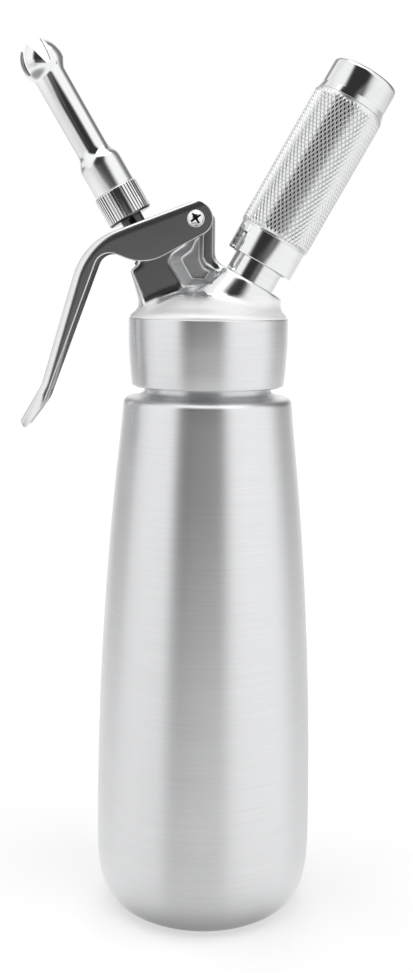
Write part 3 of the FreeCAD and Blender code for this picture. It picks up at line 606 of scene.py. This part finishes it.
def facing_in(tree, start, along):
    """1 on walls that look towards the axis through start with direction along."""
    spot = add(tree, "TexCoord").outputs
    out = add(tree, "VectorMath", {0: spot["Object"], 1: start}, operation="SUBTRACT")
    parts = [add(tree, "VectorMath", {0: a, 1: b}, operation="DOT_PRODUCT").outputs["Value"]
             for a, b in ((out.outputs[0], spot["Normal"]), (out.outputs[0], along),
                          (spot["Normal"], along))]
    rest = product(tree, parts[1], parts[2])
    return add(tree, "Math", {0: parts[0], 1: rest}, operation="LESS_THAN").outputs[0]


# The stem's steel gets a near-black tone as painted shade: it stands for the shadow under the
# fluted ring, not the colour of polished steel.
steel_with_painted_shade = steel("polished_steel", (0.08, 0.08, 0.083), 0.1, stem_place)[0]
dark_rubber = rubber("rubber", (0.02, 0.02, 0.021), 0.5)
stem = rounded((stem_bore, stem_foot), (stem_radius, stem_foot, 0.2),
               (stem_radius, spring_shoulder[0]), (shoulder_radius, spring_shoulder[0], 0.3),
               (shoulder_radius, spring_shoulder[1], 0.3), (stem_radius, spring_shoulder[1]),
               (stem_radius, stem_top, 0.4), (stem_bore, stem_top, 0.2))
piece("stem_tube", lathe(stem, 64), steel_with_painted_shade, "valve", "polished_steel", "valve_stem",
      place=stem_place)
shoulder_ring = rounded((lever_shoulder_bore, lever_shoulder[0]),
                        (shoulder_radius, lever_shoulder[0], 0.3),
                        (shoulder_radius, lever_shoulder[1], 0.3),
                        (lever_shoulder_bore, lever_shoulder[1]))
piece("shoulder_ring", lathe(shoulder_ring, 64), steel_with_painted_shade, "valve", "polished_steel",
      "stem_collar", place=stem_place)


def moulded(name, tone, dullness):
    """Injection-moulded plastic with a faint orange-peel skin."""
    material, tree, shader, peel = skinned(name, tone, 1.15, 900.0, 0.25)
    dull = add(tree, "MapRange", {"Value": peel, "To Min": dullness - 0.06,
                                  "To Max": dullness + 0.06})
    tree.links.new(dull.outputs[0], shader.inputs["Roughness"])
    return material


bush = rounded((guide_bore[0], bush_low), (bush_radius, bush_low),
               (bush_radius, tower_top + 0.02), (bush_flange, tower_top + 0.02),
               (bush_flange, bush_top, 0.45), (guide_bore[0], bush_top, 0.3))
piece("guide_bush", lathe(bush, 64), moulded("dark_plastic", (0.025, 0.025, 0.028), 0.35),
      "head", "dark_plastic", "stem_bush", place=stem_place)
dress("valve_nut", steel_with_painted_shade)
dress("stem_o_ring", dark_rubber)
dress("valve_seal", dark_rubber)
dress("valve_spring", steel("spring_steel", (0.6, 0.6, 0.61), 0.22)[0])

# Lever. Pressed from one stainless strip into a channel, with a slot for the stem, round
# cheeks at the hinge and a long handle that opens out into a thumb tip.
lever_thickness = 1.2
lever_half = 10.0
web_bend = (1.4, 2.9)
handle_bend = (3.4, 3.4)
lever_web = ((10.9, 10.5), (-39.2, -8.6, 24.0), (-54.2, -58.1, 15.0), (-66.7, -77.9))
lever_nose = 5.9
lever_edge = ((-17.5, -16.2, 16.0), (-32.8, -10.4, 5.5), (-52.9, -63.9, 12.0),
              (-60.2, -74.0, 1.3))
lever_end = (-62.4, -71.1, 1.9)
nose_ends = ((-2.1, 5.5), (2.77, -5.21))
nose_start = 110.8
nose_step = 10.8
handle_start = 36.0
handle_run = 24.0
tip_length = 15.0
edge_round = 0.36
trim_gap = (-0.25, 0.12)
strip_depth = 14.5
strip_overrun = 6.0
stem_slot = (4.35, 44.9, 55.0)
slot_travel = 1.5


def evenly(points, gap):
    """The same path with no run longer than the gap."""
    path = [points[0]]
    for a, b in zip(points, points[1:]):
        parts = max(1, round((b - a).length / gap))
        path += [a.lerp(b, (part + 1) / parts) for part in range(parts)]
    return path


def channel_section(half, across, deep, depth):
    """Half a channel's outline, as (across, inwards) points from its middle outwards."""
    corner = [(half - across + across * sin(a), deep - deep * cos(a))
              for a in [step * pi / 20 for step in range(11)]]
    flat = half - across
    return [(0, 0), (0.7 * flat, 0), (0.93 * flat, 0)] + corner + [
        (half, deep + 0.3), (half, deep + 1.2), (half, depth)]


def lever_strip():
    """The bent strip, longer and deeper than the lever, ready for trimming."""
    points = evenly([Vector(p) for p in rounded(*lever_web)], 3.0)
    total = sum((b - a).length for a, b in zip(points, points[1:]))
    walked = 0.0
    sections = []
    for i, here in enumerate(points):
        before = points[max(i - 1, 0)]
        walked += (here - before).length
        along = (points[min(i + 1, len(points) - 1)] - before).normalized()
        inwards = Vector((-along.y, along.x))
        share = min(max(1 - (total - walked - strip_overrun) / tip_length, 0), 1)
        half = lever_half * sqrt(1 - (0.86 * share) ** 5)
        opened = min(max((walked - handle_start) / handle_run, 0), 1)
        bend = Vector(web_bend).lerp(Vector(handle_bend), (3 - 2 * opened) * opened ** 2)
        bend = bend.lerp(Vector((0.92 * half, 0.92 * half)), share ** 0.8)
        sections.append((here, inwards, channel_section(half, *bend, bend.y + strip_depth)))
    count = len(sections[0][2])
    shape = bmesh.new()
    bmesh.ops.create_grid(shape, x_segments=len(sections) - 1, y_segments=2 * count - 2,
                          size=1)
    for vert in shape.verts:
        row = round((vert.co.x + 1) / 2 * (len(sections) - 1))
        column = round((vert.co.y + 1) * (count - 1)) - (count - 1)
        here, inwards, section = sections[row]
        across, deep = section[abs(column)]
        side = 1 if column > 0 else -1
        spot = here + inwards * deep
        vert.co = ((pivot.x + spot.x) * MM, side * across * MM, (pivot.y + spot.y) * MM)
    bmesh.ops.recalc_face_normals(shape, faces=shape.faces)
    middle = min(shape.faces, key=lambda f: abs(f.calc_center_median().y) +
                 abs(f.calc_center_median().x + 25 * MM))
    if middle.normal.z < 0:
        bmesh.ops.reverse_faces(shape, faces=shape.faces)
    return worked(shape, ("SOLIDIFY", dict(thickness=lever_thickness * MM, offset=-1.0)))


def lever_side_view():
    """Closed side view: web, round hinge end, free edge and tip."""
    nose = [Vector((lever_nose * cos(a), lever_nose * sin(a)))
            for a in [radians(nose_start - nose_step * step) for step in range(17)]]
    outside = [(c[0] + trim_gap[0], c[1] + trim_gap[1], *c[2:])
               for c in (lever_end, lever_web[2], lever_web[1], nose_ends[0])]
    return [p + pivot for p in nose + rounded(nose_ends[1], *lever_edge, *outside)[1:]]


def block(size, centre):
    """Plain block, its size and middle in millimetres."""
    shape = bmesh.new()
    bmesh.ops.create_cube(shape, size=1.0)
    bmesh.ops.scale(shape, vec=[part * MM for part in size], verts=shape.verts)
    bmesh.ops.translate(shape, vec=[part * MM for part in centre], verts=shape.verts)
    return shape


def lever_body():
    """The strip trimmed to its side view, with the slot that the stem slides in."""
    trim = side_plate(lever_side_view(), lever_half + 0.02)
    rims = [e for e in trim.edges if abs(e.verts[0].co.y - e.verts[1].co.y) < 0.01 * MM]
    bmesh.ops.bevel(trim, geom=rims, offset=edge_round * MM, segments=3, profile=0.5,
                    affect="EDGES", material=-1)
    shape = cut(lever_strip(), trim, "INTERSECT")
    radius, low, high = stem_slot
    between = block((slot_travel, 2 * radius, high - low), (slot_travel / 2, 0, (low + high) / 2))
    for tool in (rod(*stem_slot, stem_place),
                 rod(*stem_slot, stem_place @ Matrix.Translation((slot_travel * MM, 0, 0))),
                 placed(between, stem_place)):
        shape = cut(shape, tool)
    return shape


def lever_inside_shade(made):
    """1 on faces that look at the lever's own middle plane, above its tip; there the channel gets
    painted shade.
    """
    spot = add(made[1], "TexCoord").outputs
    depths = [add(made[1], "SeparateXYZ", {0: spot[side]}).outputs[1]
              for side in ("Object", "Normal")]
    inner = add(made[1], "Math", {0: product(made[1], *depths), 1: -0.002},
                operation="LESS_THAN").outputs[0]
    return product(made[1], inner, past(made, 184.0, 190.0))


lever_finish = steel("lever_steel", (0.85, 0.855, 0.865), 0.2)
# The channel's inner faces are painted darker grey: painted shade inside the channel.
piece("lever_channel", lever_body(),
      darkened(lever_finish, lever_inside_shade(lever_finish), (0.4, 0.4, 0.41)), "lever_body",
      "polished_chrome", "lever", crease=13)

# Pivot. A cross-recessed pan-head screw goes through the near cheek into a barrel nut,
# and the lever turns on the nut's sleeve between two thin plastic washers.
shank_radius = 1.5
sleeve_radius = 2.4
head_radius = 3.4
head_centre = 8.6
head_seat = 10.02
head_crown = 12.0
driver_recess = (5.0, 0.95, 2.8)
driver_turns = (35, 125)


def pan_screw():
    pan = [Vector(p) for p in ((0, -3.0), (shank_radius, -3.0), (shank_radius, head_seat),
                               (3.0, head_seat))]
    pan += [Vector((head_radius * sin(a), head_centre + head_radius * cos(a)))
            for a in [radians(62 - step * 6.2) for step in range(10)]]
    screw = lathe(pan + [Vector((0, head_crown))], 48, closed=False)
    for turn in driver_turns:
        recess = block(driver_recess, (0, 0, head_crown))
        deep = [v for v in recess.verts if v.co.z < head_crown * MM]
        bmesh.ops.scale(recess, vec=(0.75, 0.6, 1), verts=deep)
        screw = cut(screw, placed(recess, Matrix.Rotation(radians(turn), 4, "Z")))
    return screw


pivot_finish = steel("pivot_steel_recess_shade", (0.9, 0.905, 0.91), 0.14, pivot_place)
# Painted shade: within 3.25 mm of the head's centre, the bottom of the cross recess and the hidden
# shank, the steel goes near-black.
from_centre = add(pivot_finish[1], "VectorMath", {0: pivot_finish[3],
                                                  1: (0, 0, head_centre * MM)},
                  operation="DISTANCE").outputs["Value"]
pivot_steel_recess_shade = darkened(pivot_finish, zone(pivot_finish[1], from_centre, 3.33, 3.25),
                       (0.06, 0.06, 0.065))
piece("pan_screw", pan_screw(), pivot_steel_recess_shade, "lever_body", "polished_steel", "pivot_screw",
      place=pivot_place)
barrel = rounded((shank_radius, -2.9), (shank_radius, 8.8), (sleeve_radius, 8.8),
                 (sleeve_radius, -10.0), (head_radius, -10.0), (head_radius, -11.8, 0.5),
                 (0, -11.8), (0, -2.9))
piece("barrel_nut", lathe(barrel, 48), pivot_steel_recess_shade, "lever_body", "polished_steel",
      "pivot_nut", place=pivot_place)
white_plastic = moulded("white_plastic", (0.75, 0.75, 0.73), 0.4)
dress("pivot_washers", white_plastic)

# Nozzle adapter. A brass ring, chromed, with pressed flutes all round for the fingers; it
# screws on the stem's end and carries the nozzle.
ring_radius = 8.2
ring_low = 54.3
ring_floor = 57.8
ring_top = 65.2
ring_bore = 4.06
nozzle_thread = 6.16
flute_count = 46
flute_depth = 0.3
flute_ends = (55.0, 65.0)
chrome_tone = (0.94, 0.945, 0.95)


def fluted(shape):
    """Press V flutes into the outermost band of the turned ring."""
    low, high = flute_ends
    for vert in shape.verts:
        across = Vector((vert.co.x, vert.co.y))
        turn = round(atan2(across.y, across.x) / (2 * pi) * flute_count * 4) % 4
        outside = across.length > (ring_radius - 0.05) * MM
        if turn == 0 and outside and low * MM < vert.co.z < high * MM:
            across *= 1 - flute_depth * MM / across.length
            vert.co = (across.x, across.y, vert.co.z)
    return shape


ring = rounded((ring_bore, ring_low), (7.5, ring_low, 0.2), (ring_radius, 55.0, 0.2),
               (ring_radius, 64.9, 0.3), (7.9, ring_top, 0.1), (nozzle_thread, ring_top),
               (nozzle_thread, ring_floor), (ring_bore, ring_floor))
ring_chrome = steel("ring_chrome", chrome_tone, 0.06, stem_place)
# Painted shade: below 55 mm the ring's underside and lower chamfer are painted near-black,
# standing for the shadow between the ring and the lever.
piece("fluted_ring", fluted(lathe(ring, flute_count * 4)),
      darkened(ring_chrome, past(ring_chrome, 55.1, 54.9), (0.1, 0.1, 0.105)), "adapter",
      "polished_chrome", "nozzle_adapter", place=stem_place, crease=25)
dress("adapter_gasket", dark_rubber)

# Nozzle. Chromed tube with a wider foot that screws into the ring, and a crown of five
# teeth bent inwards that shapes the cream.
spigot_radius = 6.1
spigot_low = 58.9
foot_low = 65.3
foot_high = 74.2
foot_width = 7.45
tube_radius = 5.6
tube_bore = 4.2
crown_radius = 7.3
crown_bore = 6.4
crown_low = 109.1
crown_widest = 114.6
crown_top = 121.2
slot_bottom = 112.3
slot_turns = [-74 + 72 * turn for turn in range(5)]


def nozzle_body():
    """Turned tube with its crown, slit into teeth by wedges from the axis outwards."""
    outer = rounded((4.3, spigot_low), (spigot_radius, spigot_low), (spigot_radius, foot_low),
                    (foot_width, foot_low, 0.3), (foot_width, foot_high))
    outer += curve((foot_width, 74.8), (foot_width, 77.9), (tube_radius, 77.6),
                   (tube_radius, 81.2), steps=10)
    outer += [Vector((tube_radius, 95.0))]
    outer += curve((tube_radius, crown_low), (6.0, 111.3), (crown_radius, 111.2),
                   (crown_radius, crown_widest), steps=9)
    outer += curve((crown_radius, crown_widest), (crown_radius, 117.2), (6.1, 119.5),
                   (4.4, crown_top), steps=9)[1:]
    inner = curve((3.5, crown_top), (5.2, 119.3), (crown_bore, 117.0),
                  (crown_bore, crown_widest), steps=8)
    inner += curve((crown_bore, crown_widest), (crown_bore, 112.0), (5.0, 111.6),
                   (tube_bore, crown_low), steps=8)[1:]
    inner += [Vector((tube_bore, 65.0)), Vector((4.3, 64.7))]
    shape = lathe(outer + inner, 90)
    side_view = [(-1.2, slot_bottom + 0.3), (-0.6, slot_bottom - 0.25),
                 (0.6, slot_bottom - 0.25), (1.2, slot_bottom + 0.3),
                 (2.7, crown_top + 1), (-2.7, crown_top + 1)]
    for turn in slot_turns:
        wedge = pushed([(0, across, up) for across, up in side_view], (12, 0, 0))
        shape = cut(shape, placed(wedge, Matrix.Rotation(radians(turn), 4, "Z")))
    return shape


nozzle_chrome = steel("nozzle_chrome", chrome_tone, 0.06, stem_place)
dulled(nozzle_chrome, past(nozzle_chrome, 79.5, 75.0), 0.13)
# Painted shade: the tube's and crown's inner walls are painted darker, standing for the shade
# inside the nozzle.
inner_wall_shade = facing_in(nozzle_chrome[1], apex, stem_place.to_3x3() @ Vector((0, 0, 1)))
nozzle = piece("toothed_tube", nozzle_body(),
               darkened(nozzle_chrome, inner_wall_shade, (0.16, 0.16, 0.17)), "nozzle_body",
               "polished_chrome", "nozzle", place=stem_place, crease=30)
teeth = nozzle.modifiers.new("tooth_edges", "BEVEL")
teeth.width = 0.14 * MM
teeth.segments = 2
teeth.limit_method = "ANGLE"
teeth.angle_limit = radians(55)

# Charger stud. Turned steel, chromed, screwed into the boss on a thin gasket; it holds
# the hollow pin that opens the charger and the check valve below.
stud_foot = 21.0
stud_seat = 29.0
stud_top = 49.0
shank_width = 7.0
collar_width = 9.15
thread_width = 10.0
gas_channel = 1.2
pin_seat = (2.6, 29.4)
charger_seat = (4.65, 33.9)
stud = rounded((gas_channel, stud_foot), (shank_width, stud_foot, 0.3),
               (shank_width, stud_seat), (collar_width, stud_seat), (collar_width, 37.0),
               (thread_width, 37.4))
stud += thread_rings(thread_width, (38.4, 40.6, 42.8, 45.0), 0.2, 0.8, 0.3)
stud += rounded((thread_width, 48.0), (thread_width, stud_top, 0.5),
                (charger_seat[0], stud_top, 0.3), charger_seat, (pin_seat[0], charger_seat[1]),
                pin_seat, (gas_channel, pin_seat[1]))
stud_chrome = steel("stud_chrome", (0.88, 0.885, 0.89), 0.07, holder_place)
threaded = product(stud_chrome[1], past(stud_chrome, 37.2, 37.6),
                   past(stud_chrome, 50.0, 49.5))
holder_chrome = dulled(stud_chrome, threaded, 0.3)[0]
piece("threaded_stud", lathe(stud, 96), holder_chrome, "head", "polished_chrome",
      "charger_stud", place=holder_place)
dress("stud_gasket", dark_rubber)
dress("pin_gasket", dark_rubber)
dress("check_valve_sleeve", dark_rubber)
dress("check_valve_body", steel("brass", (0.72, 0.5, 0.2), 0.2, holder_place)[0])
dress("piercing_pin", holder_chrome)

# Charger holder. Turned aluminium sleeve, diamond-knurled for the hand, with a plain rim
# whose slot lets leftover gas out; a polished cap is pressed into its end.
holder_rim = 36.1
holder_thread = (10.08, 49.6)
holder_bore = 9.3
plain_radius = 12.45
cap_socket = (10.6, 90.3)
vent_radius = 2.2
vent_end = 42.7
vent_run = 8.0
vent_turn = 205
knurl_start = 46.1
knurl_end = 98.3
knurl_radius = 13.0
knurl_depth = 0.56
knurl_flat = 0.58
knurl_around = 110
knurl_along = 40


def knurled_sleeve():
    """Turned sleeve, its band pressed into flat-topped diamonds."""
    knurl_tip = knurl_radius + knurl_flat * knurl_depth
    levels = [knurl_start + 0.6 + (knurl_end - knurl_start - 1.1) * row / knurl_along
              for row in range(knurl_along + 1)]
    profile = rounded((holder_thread[0], holder_rim), (plain_radius, holder_rim, 0.35),
                      (plain_radius, knurl_start - 0.1), (12.75, knurl_start))
    profile += [Vector((knurl_tip if level in levels[1:-1] else 12.6, level))
                for level in levels]
    profile += [Vector(p) for p in ((12.5, knurl_end), (cap_socket[0], knurl_end), cap_socket,
                                    (holder_bore, cap_socket[1]),
                                    (holder_bore, holder_thread[1]), holder_thread)]
    shape = lathe(profile, knurl_around)
    valleys, tips = [], []
    for vert in shape.verts:
        across = Vector((vert.co.x, vert.co.y))
        row = (vert.co.z / MM - levels[0]) / (levels[1] - levels[0])
        if across.length < (knurl_tip - 0.1) * MM or not 0.5 < row < knurl_along - 0.5:
            continue
        column = round(atan2(across.y, across.x) / (2 * pi) * knurl_around)
        if (column + round(row)) % 2:
            across *= 1 - knurl_depth * MM / across.length
            vert.co = (across.x, across.y, vert.co.z)
            valleys.append(vert)
        else:
            tips.append(vert)
    bmesh.ops.connect_verts(shape, verts=valleys)
    bmesh.ops.bevel(shape, geom=tips, offset=100 * knurl_flat, offset_type="PERCENT",
                    segments=1, profile=0.5, affect="VERTICES", material=-1)
    return shape


def vent_slot():
    """Cutters for the slot: its round end, and its run from the rim."""
    round_end = Matrix.Translation((0, 0, vent_end * MM)) @ Matrix.Rotation(pi / 2, 4, "Y")
    end = rod(vent_radius, 5.0, 20.0, round_end, 32)
    run = block((15, 2 * vent_radius, vent_run), (12.5, 0, vent_end - vent_run / 2))
    turn = Matrix.Rotation(radians(vent_turn), 4, "Z")
    return placed(end, turn), placed(run, turn)


def knurled_finish():
    """Polished plain rim and diamond tops; the pressed grooves between are satin."""
    finish = steel("knurled_aluminium", (0.9, 0.905, 0.91), 0.08, holder_place)
    tree, where = finish[1], finish[3]
    flat = add(tree, "VectorMath", {0: where, 1: (1, 1, 0)}, operation="MULTIPLY").outputs[0]
    radius = add(tree, "VectorMath", {0: flat}, operation="LENGTH").outputs["Value"]
    groove = product(tree, zone(tree, radius, 12.98, 12.96),
                     past(finish, knurl_start, knurl_start + 0.4))
    return dulled(finish, groove, 0.2)[0]


sleeve = knurled_sleeve()
for tool in vent_slot():
    sleeve = cut(sleeve, tool)
piece("knurled_sleeve", sleeve, knurled_finish(), "holder", "knurled_aluminium",
      "charger_holder", place=holder_place, crease=18)

# Holder cap, pad and charger. The cap is turned and polished; a soft pad in it keeps the
# steel gas charger from rattling.
cap_radius = 12.0
cap_top = 109.8
cap_room = 106.6
cap_foot = 90.4
cap_foot_radius = 10.55
cap = rounded((0, cap_room), (holder_bore, cap_room), (holder_bore, cap_foot),
              (cap_foot_radius, cap_foot), (cap_foot_radius, 98.35), (12.5, 98.4, 0.15),
              (11.95, 100.6, 0.2), (cap_radius, 101.0), (cap_radius, cap_top, 1.7),
              (0, cap_top))
piece("end_cap", lathe(cap, 110, closed=False), holder_chrome, "holder",
      "polished_chrome", "holder_cap", place=holder_place, crease=25)
dress("charger_pad", white_plastic)
dress("gas_charger", steel("charger_steel", (0.62, 0.63, 0.64), 0.25, holder_place)[0])

# Studio. A pale floor, soft light from white walls with a dark card round the camera, and
# the camera at the height of the head, tilted down a little.
floor_size = 3.0
camera_place = (0, -0.430, 0.2313)
camera_pitch = 9.7
camera_roll = 0.65
camera_lens = 44.25


def studio_light():
    """Sky that depends on direction alone: white round about, darker bands in front."""
    world = bpy.data.worlds.new("studio")
    bpy.context.scene.world = world
    world.use_nodes = True
    tree = world.node_tree
    background = tree.nodes["Background"]
    way = add(tree, "SeparateXYZ", {0: add(tree, "TexCoord").outputs["Generated"]})
    forward = add(tree, "Math", {0: way.outputs[1], 1: -1.0}, operation="MULTIPLY")
    around = add(tree, "Math", {0: way.outputs[0], 1: forward.outputs[0]},
                 operation="ARCTAN2")
    turn = add(tree, "MapRange", {"Value": around.outputs[0], "From Min": -pi,
                                  "From Max": pi})

    def band(*stops):
        """Brightness round the horizon; each stop is degrees right of the camera."""
        ramp = add(tree, "ValToRGB", {"Fac": turn.outputs[0]})
        colours = ramp.color_ramp.elements
        colours.remove(colours[1])
        for i, (degrees, level) in enumerate(stops):
            spot = degrees / 360 + 0.5
            stop = colours.new(spot) if i else colours[0]
            stop.position = spot
            stop.color = (level, level, level, 1)
        return ramp.outputs[0]

    def rising(low, high):
        """0 below one elevation and 1 above the other, in degrees."""
        return add(tree, "MapRange", {"Value": way.outputs[2], "From Min": sin(radians(low)),
                                      "From Max": sin(radians(high))},
                   interpolation_type="SMOOTHSTEP").outputs[0]

    def blend(share, a, b):
        return add(tree, "MixRGB", {"Fac": share, "Color1": a, "Color2": b}).outputs[0]

    ground = band((-180, 0.97), (-150, 0.92), (-135, 0.82), (-105, 0.82), (-80, 0.8),
                  (-50, 0.72), (-36, 0.62), (-24, 0.75), (-6, 0.9), (12, 0.92), (30, 0.94),
                  (50, 0.96), (85, 0.96), (115, 0.8), (150, 0.8), (180, 0.95))
    level = band((-180, 1.0), (-160, 0.85), (-140, 0.45), (-128, 0.3), (-108, 0.3),
                 (-94, 0.76), (-78, 0.94), (-47, 0.94), (-40, 0.72), (-33, 0.26), (-27, 0.06),
                 (-20, 0.04), (-15, 0.14), (-10, 0.08), (0, 0.12), (8, 0.18), (15, 0.16),
                 (20, 0.3), (27, 0.66), (36, 0.9), (50, 1.0), (85, 0.97), (100, 0.8),
                 (115, 0.56), (138, 0.56), (162, 0.85), (180, 1.0))
    card = band((-180, 1.0), (-165, 0.6), (-155, 0.3), (-145, 0.35), (-135, 0.95),
                (-110, 0.85), (-80, 1.0), (-48, 1.0), (-42, 0.55), (-37, 0.12), (-31, 0.035),
                (12, 0.035), (18, 0.1), (23, 0.35), (28, 0.7), (35, 1.0), (92, 1.0),
                (103, 0.6), (111, 0.4), (120, 0.26), (130, 0.19), (146, 0.2), (160, 0.55),
                (174, 1.0))
    side = band((-66, 0.0), (-54, 1.0), (90, 1.0), (120, 0.0))
    top = add(tree, "Math", {0: rising(50, 58), 1: side}, operation="MULTIPLY").outputs[0]
    top = add(tree, "Math", {0: top, 1: rising(64, 76)}, operation="MAXIMUM").outputs[0]
    sky = blend(top, card, (1.6, 1.6, 1.6, 1))
    table = blend(rising(-62, -30), (0.33, 0.33, 0.33, 1), (0.98, 0.98, 0.98, 1))
    under = blend(rising(-32, -19), table, ground)
    walls = blend(rising(-15, -6), under, level)
    whole = blend(rising(-1, 8), walls, sky)
    seen = add(tree, "LightPath").outputs["Is Camera Ray"]
    tree.links.new(blend(seen, whole, (1.0, 1.0, 1.0, 1)), background.inputs["Color"])


def floor():
    shape = bmesh.new()
    bmesh.ops.create_grid(shape, x_segments=1, y_segments=1, size=floor_size)
    made = shown("floor", shape)
    made.data.materials.append(surface("pale_floor", Base_Color=(0.88, 0.88, 0.88, 1),
                                       Roughness=0.6, Specular_IOR_Level=0.1,
                                       Emission_Color=(1, 1, 1, 1), Emission_Strength=0.3)[0])
    made.visible_glossy = False
    made.visible_shadow = False


def camera():
    pitch, roll = radians(camera_pitch), radians(camera_roll)
    right = Vector((1, 0, 0))
    up = Vector((0, sin(pitch), cos(pitch)))
    ahead = Vector((0, cos(pitch), -sin(pitch)))
    level = right * cos(roll) + up * sin(roll)
    upright = up * cos(roll) - right * sin(roll)
    data = bpy.data.cameras.new("camera")
    data.lens = camera_lens
    data.clip_start = 0.01
    made = bpy.data.objects.new("camera", data)
    turned = Matrix((level, upright, -ahead)).transposed().to_4x4()
    made.matrix_world = Matrix.Translation(camera_place) @ turned
    bpy.context.scene.collection.objects.link(made)
    bpy.context.scene.camera = made


studio_light()
floor()
camera()
bpy.context.scene.view_settings.view_transform = "Standard"
